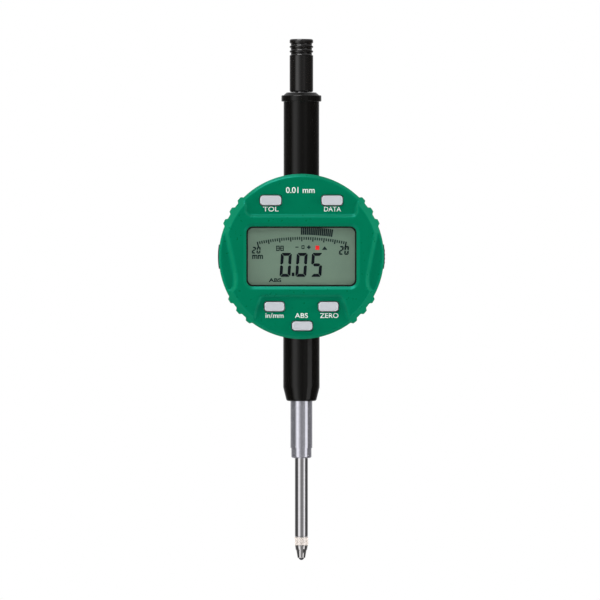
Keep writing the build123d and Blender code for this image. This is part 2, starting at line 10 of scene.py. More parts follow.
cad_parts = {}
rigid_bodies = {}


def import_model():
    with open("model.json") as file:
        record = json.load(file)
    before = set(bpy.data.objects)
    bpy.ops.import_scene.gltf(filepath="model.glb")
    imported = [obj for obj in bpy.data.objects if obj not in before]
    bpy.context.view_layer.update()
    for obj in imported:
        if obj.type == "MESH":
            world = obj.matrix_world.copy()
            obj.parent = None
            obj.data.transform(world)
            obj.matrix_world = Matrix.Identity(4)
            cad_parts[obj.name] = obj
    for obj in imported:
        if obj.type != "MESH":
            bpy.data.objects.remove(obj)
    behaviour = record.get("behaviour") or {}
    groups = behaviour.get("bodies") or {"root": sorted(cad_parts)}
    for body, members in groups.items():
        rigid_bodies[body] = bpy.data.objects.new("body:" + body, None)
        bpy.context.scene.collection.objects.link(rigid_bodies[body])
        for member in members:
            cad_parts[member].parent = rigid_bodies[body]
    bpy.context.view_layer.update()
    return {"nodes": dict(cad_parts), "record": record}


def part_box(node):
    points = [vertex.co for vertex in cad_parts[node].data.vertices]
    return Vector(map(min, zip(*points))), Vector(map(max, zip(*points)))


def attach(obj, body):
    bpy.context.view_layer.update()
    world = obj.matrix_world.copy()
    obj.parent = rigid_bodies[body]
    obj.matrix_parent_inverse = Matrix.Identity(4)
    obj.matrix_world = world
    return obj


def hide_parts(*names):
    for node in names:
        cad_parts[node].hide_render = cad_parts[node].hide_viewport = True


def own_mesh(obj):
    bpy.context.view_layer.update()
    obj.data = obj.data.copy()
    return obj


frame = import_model()
NODES = frame["nodes"]

# Sizes of the outlines below are in millimetres on the dial: u to the right and v up from
# the dial's axis, d out of the dial towards the reader. MM turns them into metres.
MM = 0.001

CASE_LOW, CASE_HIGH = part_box("front_case")
WINDOW_LOW, WINDOW_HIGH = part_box("lcd_window")
PANEL_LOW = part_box("lcd_panel")[0]
DIAL_Z = (CASE_LOW.z + CASE_HIGH.z) / 2

# ---- the display case
DIAL_R = (CASE_HIGH.z - CASE_LOW.z) / 2 / MM
FACE_D = -CASE_LOW.y / MM
BACK_D = -CASE_HIGH.y / MM
FACE_R = DIAL_R - 2.2
RIM_D = FACE_D - 1.9              # where the sloping rim meets the side
RIM_SLOPE = (FACE_D - RIM_D) / (DIAL_R - FACE_R)
CREST_SOFT = 0.14                 # rounding between the face and the rim
CUP_R = DIAL_R - 2.0
FLOOR_D = 15.2                    # the inside of the front wall
PANEL_DEPTH = 0.95
PANEL_WALL = 0.6                  # half the width of a panel's sloping wall
LEAF_DEPTH = 1.3
LEAF_WALL = 0.8
WALL_ROUND = 0.4                  # share of a recess's wall that eases in and out; the rest is straight
GRIP_ANGLES = (24.4, 33.6, 42.8, -31.8, -41.2, -50.6)
GRIP_HEIGHT = 0.82
GRIP_FLAT = 1.4                   # degrees of full height each side of a grip's middle
GRIP_FOOT = 3.0                   # degrees to the bottom of its flank
OUTLINE_STEPS = 900

# ---- the window and the keys in the case
WINDOW_W = (WINDOW_HIGH.x - WINDOW_LOW.x) / MM - 3.0
WINDOW_H = (WINDOW_HIGH.z - WINDOW_LOW.z) / MM - 2.4
WINDOW_CORNER = 2.3
WINDOW_SEAT_D = -WINDOW_LOW.y / MM
WINDOW_BACK_D = -WINDOW_HIGH.y / MM
BEVEL_WIDTH = 1.15
BEVEL_DEPTH = 0.7
BEVEL_SOFT = 0.08                 # rounding between the face and the bevel
# The black frame round the glass is partly painted shade: it stands for the dark line where the opening's
# walls shade the liquid crystal.
BORDER = 0.55                     # width of the black frame seen round the glass
REBATE_W, REBATE_H = 3.2, 2.6     # how much wider and higher the rebate is than the opening
BUTTONS = ("button_tol", "button_data", "button_in_mm", "button_zero", "button_abs")
BUTTON_FLANGE = 1.4               # how much wider a key is behind the case
BUTTON_GAP = 0.33
BUTTON_CORNER = 1.3
HOLE_EDGE = 0.12                  # rounded edge of a key's hole
HOLE_DROP = 0.7                   # how far the edge falls, as a share of its width

# ---- the liquid crystal glass
INK_BACK_D = -PANEL_LOW.y / MM + 0.005
INK_FRONT_D = INK_BACK_D + 0.03

# ---- how finely curves are divided
CORNER_STEPS = 8
STRAIGHT_STEP = 0.3
TURNED_STEPS = 96


# ------------------------------------------------------------------ shapes on the dial
def on_dial(u, v, d):
    """A place on the dial, in metres in the part's frame."""
    return Vector((u * MM, -d * MM, DIAL_Z + v * MM))


def smooth(low, high, x):
    """0 below low, 1 above high and an even S between them."""
    t = np.clip((x - low) / (high - low), 0.0, 1.0)
    return t * t * (3.0 - 2.0 * t)


def softer_min(a, b, width):
    """The smaller of a and b, with the crease between them rounded over width."""
    h = np.clip(0.5 + 0.5 * (b - a) / width, 0.0, 1.0)
    return b * (1.0 - h) + a * h - width * h * (1.0 - h)


def from_polygon(points, u, v):
    """Distance from a closed outline, below zero inside it."""
    u = np.asarray(u, float)
    v = np.asarray(v, float)
    nearest = np.full(u.shape, 1e9)
    inside = np.zeros(u.shape, bool)
    for (ax, ay), (bx, by) in zip(points, points[1:] + points[:1]):
        ex, ey = bx - ax, by - ay
        t = np.clip(((u - ax) * ex + (v - ay) * ey) / (ex * ex + ey * ey), 0.0, 1.0)
        nearest = np.minimum(nearest, np.hypot(u - ax - t * ex, v - ay - t * ey))
        crosses = (ay > v) != (by > v)
        rise = ey if abs(ey) > 1e-9 else 1e-9
        inside ^= crosses & (u < ax + (v - ay) * ex / rise)
    return np.where(inside, -nearest, nearest)


def from_rounded(u, v, width, height, corner):
    """Distance from a rounded rectangle about the origin, below zero inside it."""
    qx = np.abs(u) - width / 2 + corner
    qy = np.abs(v) - height / 2 + corner
    outside = np.hypot(np.maximum(qx, 0.0), np.maximum(qy, 0.0))
    return outside + np.minimum(np.maximum(qx, qy), 0.0) - corner


def polar(radius, angle):
    """A point at a radius and an angle in degrees."""
    turn = math.radians(angle)
    return radius * math.cos(turn), radius * math.sin(turn)


def rounded_loop(width, height, corner, centre=(0.0, 0.0)):
    """Points round a rounded rectangle. A smaller or larger one with the same straight
    stretches has as many points, so the two can be bridged."""
    points = []
    straight_w = max(1, round((width - 2 * corner) / STRAIGHT_STEP))
    straight_h = max(1, round((height - 2 * corner) / STRAIGHT_STEP))
    x, y = width / 2 - corner, height / 2 - corner
    for quarter, (cx, cy, count, nx, ny) in enumerate((
        (x, y, straight_w, -x, y), (-x, y, straight_h, -x, -y),
        (-x, -y, straight_w, x, -y), (x, -y, straight_h, x, y),
    )):
        for i in range(CORNER_STEPS + 1):
            px, py = polar(corner, 90 * quarter + 90 * i / CORNER_STEPS)
            points.append((cx + px, cy + py))
        px, py = polar(corner, 90 * quarter + 90)
        for i in range(1, count):
            t = i / count
            points.append((cx + (nx - cx) * t + px, cy + (ny - cy) * t + py))
    return [(px + centre[0], py + centre[1]) for px, py in points]


def key_place(node):
    """Centre and size on the dial of a key's cap."""
    low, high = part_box(node)
    centre = ((low.x + high.x) / 2 / MM, ((low.z + high.z) / 2 - DIAL_Z) / MM)
    width = (high.x - low.x) / MM - BUTTON_FLANGE
    height = (high.z - low.z) / MM - BUTTON_FLANGE
    return centre, width, height


# ------------------------------------------------------------------ meshes
def new_object(name, mesh, material):
    """Put a mesh in the scene with one material."""
    mesh.materials.clear()
    mesh.materials.append(material)
    piece = bpy.data.objects.new(name, mesh)
    bpy.context.scene.collection.objects.link(piece)
    return piece


def mesh_from(bm, name, sharp=38.0):
    """Close a bmesh's seams, turn its faces outwards and shade it smooth up to an angle."""
    bmesh.ops.remove_doubles(bm, verts=bm.verts, dist=2e-6)
    bmesh.ops.dissolve_degenerate(bm, edges=bm.edges, dist=1e-7)
    bmesh.ops.recalc_face_normals(bm, faces=bm.faces)
    mesh = bpy.data.meshes.new(name)
    bm.to_mesh(mesh)
    bm.free()
    mesh.polygons.foreach_set("use_smooth", [True] * len(mesh.polygons))
    mesh.set_sharp_from_angle(angle=math.radians(sharp))
    mesh.update()
    return mesh


def add_loop(bm, points):
    """New vertices at these places."""
    return [bm.verts.new(p) for p in points]


def bridge(bm, first, second):
    """Quads between two closed loops of as many vertices."""
    count = len(first)
    for i in range(count):
        j = (i + 1) % count
        bm.faces.new((first[i], first[j], second[j], second[i]))


def skin(bm, loops):
    """Quads between each loop and the next."""
    for first, second in zip(loops, loops[1:]):
        bridge(bm, first, second)


def level_loop(bm, outline, depth):
    """New vertices along an outline on the dial, all at one depth."""
    return add_loop(bm, [on_dial(u, v, depth) for u, v in outline])


def plate(bm, outline, back, front):
    """A flat outline on the dial made solid between two depths."""
    rear = level_loop(bm, outline, back)
    fore = level_loop(bm, outline, front)
    bridge(bm, rear, fore)
    bm.faces.new(fore)
    bm.faces.new(rear)


def loose_part(bm, name):
    """A small part that isn't in the scene, to be repeated."""
    bmesh.ops.recalc_face_normals(bm, faces=bm.faces)
    mesh = bpy.data.meshes.new(name)
    bm.to_mesh(mesh)
    bm.free()
    return bpy.data.objects.new(name, mesh)


def turned(name, profile, material):
    """A solid of revolution about the spindle's axis, from (radius, height) in metres."""
    bm = bmesh.new()
    loops = []
    for radius, height in profile:
        if radius < 1e-7:
            loops.append([bm.verts.new((0, 0, height))])
            continue
        angles = [math.tau * i / TURNED_STEPS for i in range(TURNED_STEPS)]
        loops.append(add_loop(bm, [(radius * math.cos(a), radius * math.sin(a), height) for a in angles]))
    for first, second in zip(loops, loops[1:]):
        if len(first) == len(second):
            bridge(bm, first, second)
        else:
            pole, ring = (first[0], second) if len(first) == 1 else (second[0], first)
            for i in range(TURNED_STEPS):
                bm.faces.new((pole, ring[i], ring[(i + 1) % TURNED_STEPS]))
    return new_object(name, mesh_from(bm, name, 30.0), material)


# ------------------------------------------------------------------ finishes
def srgb(red, green, blue):
    """A colour given as 0 to 255 in the usual display scale, as linear light."""
    linear = []
    for value in (red, green, blue):
        c = value / 255
        linear.append(c / 12.92 if c <= 0.04045 else ((c + 0.055) / 1.055) ** 2.4)
    return (*linear, 1.0)


class Finish:
    """A node material that starts as a plain shader and gains variation and relief."""

    def __init__(self, name, colour, rough, metal=0.0):
        self.material = bpy.data.materials.new(name)
        self.material.use_nodes = True
        self.tree = self.material.node_tree
        self.nodes = self.tree.nodes
        self.shader = self.nodes["Principled BSDF"]
        self.set("Base Color", colour)
        self.set("Roughness", rough)
        self.set("Metallic", metal)
        self.coords = self.nodes.new("ShaderNodeTexCoord")
        self.normal = None

    def set(self, socket, value):
        """Set a number or colour on the shader's own socket."""
        self.shader.inputs[socket].default_value = value
        return self

    def link(self, source, target):
        self.tree.links.new(source, target)

    def noise(self, size, detail=2.0, stretch=(1.0, 1.0, 1.0)):
        """Even noise whose blotches are about size metres across, stretched along an axis."""
        mapping = self.nodes.new("ShaderNodeMapping")
        mapping.inputs["Scale"].default_value = [1.0 / (size * s) for s in stretch]
        self.link(self.coords.outputs["Object"], mapping.inputs["Vector"])
        noise = self.nodes.new("ShaderNodeTexNoise")
        noise.inputs["Scale"].default_value = 1.0
        noise.inputs["Detail"].default_value = detail
        self.link(mapping.outputs["Vector"], noise.inputs["Vector"])
        return noise.outputs["Fac"]

    def grain(self, size):
        """Rounded cells, as left by a spark-eroded mould."""
        voronoi = self.nodes.new("ShaderNodeTexVoronoi")
        voronoi.feature = "SMOOTH_F1"
        voronoi.inputs["Scale"].default_value = 1.0 / size
        self.link(self.coords.outputs["Object"], voronoi.inputs["Vector"])
        return voronoi.outputs["Distance"]

    def spread(self, factor, low, high, start=0.3, end=0.7):
        """Turn noise into a number between low and high."""
        span = self.nodes.new("ShaderNodeMapRange")
        span.inputs["From Min"].default_value = start
        span.inputs["From Max"].default_value = end
        span.inputs["To Min"].default_value = low
        span.inputs["To Max"].default_value = high
        self.link(factor, span.inputs["Value"])
        return span.outputs["Result"]

    def blend(self, amount, other):
        """Mix the colour so far with another one by an amount."""
        mix = self.nodes.new("ShaderNodeMix")
        mix.data_type = "RGBA"
        source = self.shader.inputs["Base Color"]
        if source.is_linked:
            self.link(source.links[0].from_socket, mix.inputs["A"])
        else:
            mix.inputs["A"].default_value = source.default_value
        mix.inputs["B"].default_value = other
        self.link(amount, mix.inputs["Factor"])
        self.link(mix.outputs["Result"], source)
        return self

    def tint(self, factor, other, share=1.0):
        """Blend the colour towards another one by a factor."""
        return self.blend(self.spread(factor, 0.0, share), other)

    def rough(self, factor, low, high):
        """Let the roughness follow a factor."""
        self.link(self.spread(factor, low, high), self.shader.inputs["Roughness"])
        return self

    def relief(self, factor, depth):
        """Raise and lower the surface by depth metres, on top of any relief before it."""
        bump = self.nodes.new("ShaderNodeBump")
        bump.inputs["Distance"].default_value = depth
        self.link(factor, bump.inputs["Height"])
        if self.normal is not None:
            self.link(self.normal, bump.inputs["Normal"])
        self.normal = bump.outputs["Normal"]
        self.link(self.normal, self.shader.inputs["Normal"])
        return self

    def edge_wear(self, radius, colour, share):
        """Blend towards the colour of the bare material along edges."""
        bevel = self.nodes.new("ShaderNodeBevel")
        bevel.samples = 4
        bevel.inputs["Radius"].default_value = radius
        geometry = self.nodes.new("ShaderNodeNewGeometry")
        dot = self.nodes.new("ShaderNodeVectorMath")
        dot.operation = "DOT_PRODUCT"
        self.link(bevel.outputs["Normal"], dot.inputs[0])
        self.link(geometry.outputs["Normal"], dot.inputs[1])
        edge = self.spread(dot.outputs["Value"], 1.0, 0.0, 0.75, 0.98)
        broken = self.nodes.new("ShaderNodeMath")
        broken.operation = "MULTIPLY"
        self.link(edge, broken.inputs[0])
        self.link(self.spread(self.noise(0.4 * MM, 3.0), 0.35, 1.0), broken.inputs[1])
        return self.blend(self.spread(broken.outputs["Value"], 0.0, share, 0.0, 1.0), colour)


def shade(colour, factor):
    """A darker or lighter version of a linear colour."""
    return (*[min(1.0, c * factor) for c in colour[:3]], 1.0)


def moulded(name, colour, rough, grain=0.14, depth=0.006):
    """Moulded plastic: faint flow marks in the colour and a fine spark texture."""
    made = Finish(name, colour, rough)
    made.tint(made.noise(8 * MM, 2.0), shade(colour, 0.93), 0.5)
    made.tint(made.noise(0.5 * MM, 2.0), shade(colour, 1.08), 0.15)
    made.rough(made.noise(1.5 * MM, 3.0), rough - 0.03, rough + 0.04)
    made.relief(made.noise(grain * MM, 1.0), depth * MM)
    return made


def green_plastic():
    """The bright green of the display case."""
    made = moulded("green_plastic", srgb(0, 107, 73), 0.3, 0.15, 0.001)
    made.set("Specular IOR Level", 0.6)
    made.set("Specular Tint", (0.04, 1.0, 0.85, 1.0))
    return made.material


def black_plastic():
    """The housing and back cover."""
    return moulded("black_plastic", srgb(30, 30, 31), 0.42, 0.18, 0.012).material


def anodised(name, colour, rough, worn=0.7):
    """Satin black tube with fine turning marks and rubbed edges."""
    made = Finish(name, colour, rough)
    made.tint(made.noise(3 * MM, 3.0), shade(colour, 1.3), 0.5)
    made.rough(made.noise(2.0 * MM, 2.0), rough - 0.03, rough + 0.04)
    made.relief(made.noise(0.09 * MM, 2.0, (40.0, 40.0, 1.0)), 0.0006 * MM)
    made.edge_wear(0.12 * MM, srgb(105, 104, 103), worn)
    return made


def black_sleeve():
    """The sleeve and the tube."""
    made = anodised("black_sleeve", srgb(5, 4, 3), 0.14)
    made.set("Specular IOR Level", 0.42)
    return made.material


def black_knob():
    """The knob is smoother than the tube and lacquered."""
    made = anodised("black_knob", srgb(6, 4, 3), 0.13, 0.03)
    made.set("Specular IOR Level", 0.8)
    made.set("Coat Weight", 0.3)
    made.set("Coat Roughness", 0.14)
    return made.material


def rubber(name, colour):
    """Matte rubber with a light bloom of dust."""
    made = Finish(name, colour, 0.8)
    made.tint(made.noise(1.2 * MM, 4.0), shade(colour, 1.8), 0.5)
    made.relief(made.noise(0.1 * MM, 2.0), 0.01 * MM)
    made.set("Specular IOR Level", 0.3)
    return made.material


def ground(name, colour, rough, marks=0.05, depth=0.0016):
    """Steel ground or turned about the spindle's axis, with rings of fine scratches."""
    made = Finish(name, colour, rough, 1.0)
    rings = made.noise(marks * MM, 3.0, (60.0, 60.0, 1.0))
    made.rough(rings, rough - 0.05, rough + 0.07)
    made.tint(made.noise(0.6 * MM, 3.0, (5.0, 5.0, 1.0)), shade(colour, 0.86), 0.6)
    made.relief(rings, depth * MM)
    return made


def stem_steel():
    """The clamping stem, ground to a soft shine."""
    made = ground("stem_steel", srgb(237, 236, 247), 0.14, 0.05, 0.0006)
    made.set("Metallic", 0.93)
    return made.material


def spindle_steel():
    """The spindle, ground brighter than the stem."""
    return ground("spindle_steel", srgb(244, 242, 245), 0.06, 0.04, 0.0003).material


def contact_steel():
    """The contact's cone, turned bright."""
    return ground("contact_steel", srgb(241, 238, 238), 0.1, 0.07, 0.0006).material


def knurled_steel():
    """The gripping base: its fine teeth scatter the light and look pale and matte."""
    made = Finish("knurled_steel", srgb(224, 214, 206), 0.65, 0.12)
    made.tint(made.noise(0.5 * MM, 3.0), srgb(216, 206, 198), 0.5)
    made.relief(made.noise(0.06 * MM, 2.0), 0.001 * MM)
    return made.material


def carbide():
    """The hard ball: dark, dense and polished."""
    made = Finish("carbide", srgb(70, 74, 88), 0.12, 1.0)
    made.rough(made.noise(0.2 * MM, 3.0), 0.09, 0.17)
    made.tint(made.noise(0.15 * MM, 2.0), srgb(52, 56, 68), 0.5)
    return made.material


def lug_metal():
    """Bead-blasted aluminium."""
    made = Finish("lug_metal", srgb(176, 177, 180), 0.45, 1.0)
    made.relief(made.grain(0.16 * MM), 0.01 * MM)
    made.tint(made.noise(2 * MM, 3.0), srgb(158, 159, 163), 0.6)
    made.edge_wear(0.15 * MM, srgb(224, 224, 226), 0.8)
    return made.material


def plated(name, colour, rough):
    """Plated steel: small screws, the cell and sprung strips."""
    made = Finish(name, colour, rough, 1.0)
    made.rough(made.noise(0.3 * MM, 3.0), rough - 0.06, rough + 0.08)
    made.tint(made.noise(0.8 * MM, 3.0), shade(colour, 0.8), 0.5)
    made.relief(made.noise(0.05 * MM, 2.0), 0.0015 * MM)
    return made.material


def screw_steel():
    return plated("screw_steel", srgb(188, 188, 192), 0.28)


def circuit_board():
    """Solder mask over the weave of the laminate, with paler runs of copper."""
    made = Finish("circuit_board", srgb(22, 92, 58), 0.35)
    made.tint(made.noise(0.35 * MM, 0.0, (6.0, 1.0, 1.0)), srgb(44, 128, 84), 0.7)
    made.relief(made.noise(0.3 * MM, 1.0), 0.01 * MM)
    return made.material


def scale_glass():
    """Etched strip with fine cross lines along its length."""
    made = Finish("scale_glass", srgb(150, 150, 138), 0.2)
    waves = made.nodes.new("ShaderNodeTexWave")
    waves.bands_direction = "Z"
    waves.inputs["Scale"].default_value = 1.0 / (3.2 * MM)
    made.link(made.coords.outputs["Object"], waves.inputs["Vector"])
    made.tint(waves.outputs["Fac"], srgb(40, 40, 36), 0.9)
    return made.material


def button_grey():
    """Satin key caps, faintly grained."""
    return moulded("button_grey", srgb(183, 186, 191), 0.42, 0.1, 0.002).material


def lcd():
    """The grey-green reflector seen through the liquid crystal."""
    made = Finish("lcd", srgb(110, 133, 117), 0.45)
    made.tint(made.noise(9 * MM, 2.0), srgb(104, 126, 112), 0.7)
    made.tint(made.noise(0.12 * MM, 2.0), srgb(121, 143, 124), 0.5)
    made.relief(made.noise(0.08 * MM, 1.0), 0.002 * MM)
    made.set("Specular IOR Level", 0.25)
    return made.material


def clear_window():
    """Clear acrylic: what is behind shows straight through, with a faint gloss on it."""
    material = bpy.data.materials.new("clear_window")
    material.use_nodes = True
    tree = material.node_tree
    tree.nodes.clear()
    coords = tree.nodes.new("ShaderNodeTexCoord")
    scratches = tree.nodes.new("ShaderNodeTexNoise")
    scratches.inputs["Scale"].default_value = 1.0 / (0.8 * MM)
    tree.links.new(coords.outputs["Object"], scratches.inputs["Vector"])
    hazy = tree.nodes.new("ShaderNodeMapRange")
    hazy.inputs["To Min"].default_value = 0.03
    hazy.inputs["To Max"].default_value = 0.09
    tree.links.new(scratches.outputs["Fac"], hazy.inputs["Value"])
    gloss = tree.nodes.new("ShaderNodeBsdfGlossy")
    tree.links.new(hazy.outputs["Result"], gloss.inputs["Roughness"])
    through = tree.nodes.new("ShaderNodeBsdfTransparent")
    through.inputs["Color"].default_value = (0.985, 0.99, 0.985, 1.0)
    fresnel = tree.nodes.new("ShaderNodeFresnel")
    fresnel.inputs["IOR"].default_value = 1.45
    geometry = tree.nodes.new("ShaderNodeNewGeometry")
    outside = tree.nodes.new("ShaderNodeMath")
    outside.operation = "SUBTRACT"
    outside.use_clamp = True
    tree.links.new(fresnel.outputs["Fac"], outside.inputs[0])
    tree.links.new(geometry.outputs["Backfacing"], outside.inputs[1])
    mix = tree.nodes.new("ShaderNodeMixShader")
    tree.links.new(outside.outputs[0], mix.inputs["Fac"])
    tree.links.new(through.outputs["BSDF"], mix.inputs[1])
    tree.links.new(gloss.outputs["BSDF"], mix.inputs[2])
    output = tree.nodes.new("ShaderNodeOutputMaterial")
    tree.links.new(mix.outputs["Shader"], output.inputs["Surface"])
    return material


def ink(name, colour, rough=0.5):
    """Screen-printed ink with slightly uneven cover."""
    made = Finish(name, colour, rough)
    made.tint(made.noise(0.25 * MM, 3.0), shade(colour, 0.85), 0.5)
    made.relief(made.noise(0.12 * MM, 2.0), 0.003 * MM)
    made.set("Specular IOR Level", 0.1)
    return made.material


FINISHES = {
    "green_plastic": green_plastic(),
    "black_plastic": black_plastic(),
    "black_sleeve": black_sleeve(),
    "black_knob": black_knob(),
    "seal_rubber": rubber("seal_rubber", srgb(34, 34, 35)),
    "keypad_rubber": rubber("keypad_rubber", srgb(150, 152, 154)),
    "cover_rubber": rubber("cover_rubber", srgb(36, 38, 38)),
    "lug_metal": lug_metal(),
    "screw_steel": screw_steel(),
    "stem_steel": stem_steel(),
    "spindle_steel": spindle_steel(),
    "contact_steel": contact_steel(),
    "carbide": carbide(),
    "bush_bronze": plated("bush_bronze", srgb(196, 160, 104), 0.3),
    "spring_steel": plated("spring_steel", srgb(190, 190, 193), 0.25),
    "circuit_board": circuit_board(),
    "contact_brass": plated("contact_brass", srgb(214, 200, 160), 0.3),
    "scale_glass": scale_glass(),
    "clear_window": clear_window(),
    "lcd": lcd(),
    "button_grey": button_grey(),
    "cell_steel": plated("cell_steel", srgb(200, 200, 202), 0.22),
}
KNURLED_STEEL = knurled_steel()
WHITE_INK = ink("white_ink", srgb(236, 240, 238))
# Black of the frame round the window's glass, which is partly painted shade from the opening's walls.
BLACK_FRAME_AND_SHADE = ink("black_frame_and_shade", srgb(20, 24, 22))
CRYSTAL_DARK = ink("crystal_dark", srgb(3, 9, 22), 0.6)
CRYSTAL_GREY = ink("crystal_grey", srgb(16, 32, 36), 0.6)
CRYSTAL_RED = ink("crystal_red", srgb(240, 45, 45), 0.35)


def dress_cad_nodes():
    """Give every CAD node the finish of its slot in the record."""
    for part in frame["record"]["subparts"]:
        mesh = NODES[part["node"]].data
        material = FINISHES[part["material_slot"]]
        if not mesh.materials:
            mesh.materials.append(material)
        for i in range(len(mesh.materials)):
            mesh.materials[i] = material


# ------------------------------------------------------------------ the front case
# Each recess is an outline drawn inside its real one by the radius of its corners.
UPPER_PANEL = [
    (-18.2, 16.75), (18.2, 16.75), (18.1, 18.2), (18.8, 20.4),
    (38.0, 40.0), (-38.0, 40.0), (-18.8, 20.4), (-18.1, 18.2),
]
LOWER_PANEL = [
    (13.4, -16.1), (-13.4, -16.1), (-14.4, -19.0), (-15.6, -23.5),
    (-17.8, -31.0), (17.8, -31.0), (15.6, -23.5), (14.4, -19.0),
]
RIGHT_LEAF = [
    (30.1, 16.5), (25.35, -6.0), (25.12, -8.5), (25.35, -10.6),
    (26.2, -11.6), (40.0, -11.6), (40.0, 16.5),
]
LEFT_LEAF = [(-u, v) for u, v in RIGHT_LEAF]
# outline, corner radius, depth, half the width of the sloping wall
PANELS = (
    (UPPER_PANEL, 2.0, PANEL_DEPTH, PANEL_WALL),
    (LOWER_PANEL, 1.8, PANEL_DEPTH, PANEL_WALL),
    (RIGHT_LEAF, 1.2, LEAF_DEPTH, LEAF_WALL),
    (LEFT_LEAF, 1.2, LEAF_DEPTH, LEAF_WALL),
)
KEYS = [key_place(node) for node in BUTTONS]


def grip(angle):
    """How far the outline stands out at an angle in degrees, from 0 to 1."""
    share = 0.0
    for place in GRIP_ANGLES:
        for middle in (place, 180.0 - place):
            away = abs((angle - middle + 180.0) % 360.0 - 180.0)
            share = max(share, 1.0 - smooth(GRIP_FLAT, GRIP_FOOT, away))
    return float(share)


def outline_radius(angle):
    """The case's radius at an angle in degrees, grips included."""
    return DIAL_R + GRIP_HEIGHT * grip(angle)


OUTLINE = [360.0 * i / OUTLINE_STEPS for i in range(OUTLINE_STEPS)]
OUTLINE_R = [outline_radius(a) for a in OUTLINE]


def rim_height(radius):
    """How far the sloping rim stands out at a radius."""
    return RIM_D + (DIAL_R - radius) * RIM_SLOPE


def from_window(u, v):
    """Distance from the window's opening."""
    return from_rounded(u, v, WINDOW_W, WINDOW_H, WINDOW_CORNER)


def from_key(u, v, key):
    """Distance from a key's hole."""
    (cu, cv), width, height = key
    gap = 2 * BUTTON_GAP
    return from_rounded(u - cu, v - cv, width + gap, height + gap, BUTTON_CORNER)


def case_height(u, v):
    """How far the front of the case stands out at each place."""
    u = np.asarray(u, float)
    v = np.asarray(v, float)
    level = np.full(u.shape, FACE_D)
    for outline, corner, depth, wall in PANELS:
        off = from_polygon(outline, u, v) - corner
        straight = np.clip((off + wall) / (2 * wall), 0.0, 1.0)
        level -= depth * (1.0 - WALL_ROUND * smooth(-wall, wall, off) - (1.0 - WALL_ROUND) * straight)
    height = softer_min(level, rim_height(np.hypot(u, v)), CREST_SOFT)
    bevel = FACE_D + (from_window(u, v) / BEVEL_WIDTH - 1.0) * BEVEL_DEPTH
    height = softer_min(height, bevel, BEVEL_SOFT)
    for key in KEYS:
        near = np.clip(1.0 - from_key(u, v, key) / HOLE_EDGE, 0.0, 1.0)
        height -= HOLE_EDGE * HOLE_DROP * near * near
    return height


def window_loop(offset):
    """Points round the window's opening, offset outwards."""
    return rounded_loop(WINDOW_W + 2 * offset, WINDOW_H + 2 * offset, WINDOW_CORNER + offset)


def key_loop(key, offset):
    """Points round a key's hole, offset outwards."""
    centre, width, height = key
    grow = 2 * (BUTTON_GAP + offset)
    return rounded_loop(width + grow, height + grow, BUTTON_CORNER + offset, centre)


# ---- where the front's mesh has its points, so that its slopes and edges come out clean
INNER_R = FACE_R - 0.9                                          # edge of the flat face
CREST_RINGS = (-0.9, -0.55, -0.3, -0.12, 0.0, 0.12, 0.3)        # about the crest of the rim
SLOPE_RINGS = (0.2, 0.36, 0.52, 0.68, 0.84, 0.94)               # shares of the way down it
BEVEL_RINGS = (0.3, 0.6, 0.9, 1.08, 1.22, 1.4)                  # out from the window's opening
HOLE_RINGS = (0.06, 0.25)                                       # out from a key's hole
FINE_GRID, COARSE_GRID = 0.27, 1.4                              # on the recesses' walls and between
CLEAR_OF_WALL = 0.15
CLEAR_OF_WINDOW = 1.55
CLEAR_OF_HOLE = 0.45
ROW_SHARE = 0.866                                               # row spacing of even triangles


def scatter(step, reach):
    """Points of a triangular grid over a square."""
    rows = int(2 * reach / (step * ROW_SHARE)) + 1
    columns = int(2 * reach / step) + 1
    j, i = np.meshgrid(np.arange(rows), np.arange(columns), indexing="ij")
    u = -reach + (i + 0.5 * (j % 2)) * step
    v = -reach + j * step * ROW_SHARE
    return u.ravel(), v.ravel()


def circle(radius):
    """Points round a circle, as many as round the case's outline."""
    return [polar(radius, a) for a in OUTLINE]


def triangulate(loops, free):
    """Triangles over closed loops and free points, as (places, index triples)."""
    places = []
    edges = []
    for loop in loops:
        first = len(places)
        places += [Vector(p) for p in loop]
        edges += [(first + i, first + (i + 1) % len(loop)) for i in range(len(loop))]
    places += [Vector(p) for p in free]
    out = delaunay_2d_cdt(places, edges, [], 1, 1e-7)
    return out[0], out[2]


def front_points():
    """Free points for the front of the case: dense on slopes, sparse on flats."""
    free = []
    for offset in CREST_RINGS:
        free += circle(FACE_R + offset)
    last = CREST_RINGS[-1]
    for share in SLOPE_RINGS:
        for a, outer in zip(OUTLINE, OUTLINE_R):
            free.append(polar(FACE_R + last + (outer - FACE_R - last) * share, a))
    for offset in BEVEL_RINGS:
        free += window_loop(offset)
    for key in KEYS:
        for offset in HOLE_RINGS:
            free += key_loop(key, offset)
    for step, near in ((FINE_GRID, True), (COARSE_GRID, False)):
        u, v = scatter(step, DIAL_R)
        on_wall = np.zeros(u.shape, bool)
        for outline, corner, _, wall in PANELS:
            on_wall |= np.abs(from_polygon(outline, u, v) - corner) < wall + CLEAR_OF_WALL
        keep = (np.hypot(u, v) < INNER_R - CLEAR_OF_WALL) & (from_window(u, v) > CLEAR_OF_WINDOW)
        for key in KEYS:
            keep &= from_key(u, v, key) > CLEAR_OF_HOLE
        keep &= on_wall if near else ~on_wall
        free += list(zip(u[keep].tolist(), v[keep].tolist()))
    return free


def add_front(bm):
    """The front surface of the case, with its window and key holes open."""
    edge = [polar(r, a) for a, r in zip(OUTLINE, OUTLINE_R)]
    loops = [edge, window_loop(0.0), window_loop(BEVEL_WIDTH)]
    for key in KEYS:
        loops += [key_loop(key, 0.0), key_loop(key, HOLE_EDGE)]
    places, triangles = triangulate(loops, front_points())
    add_sheet(bm, places, triangles, case_height, from_window)


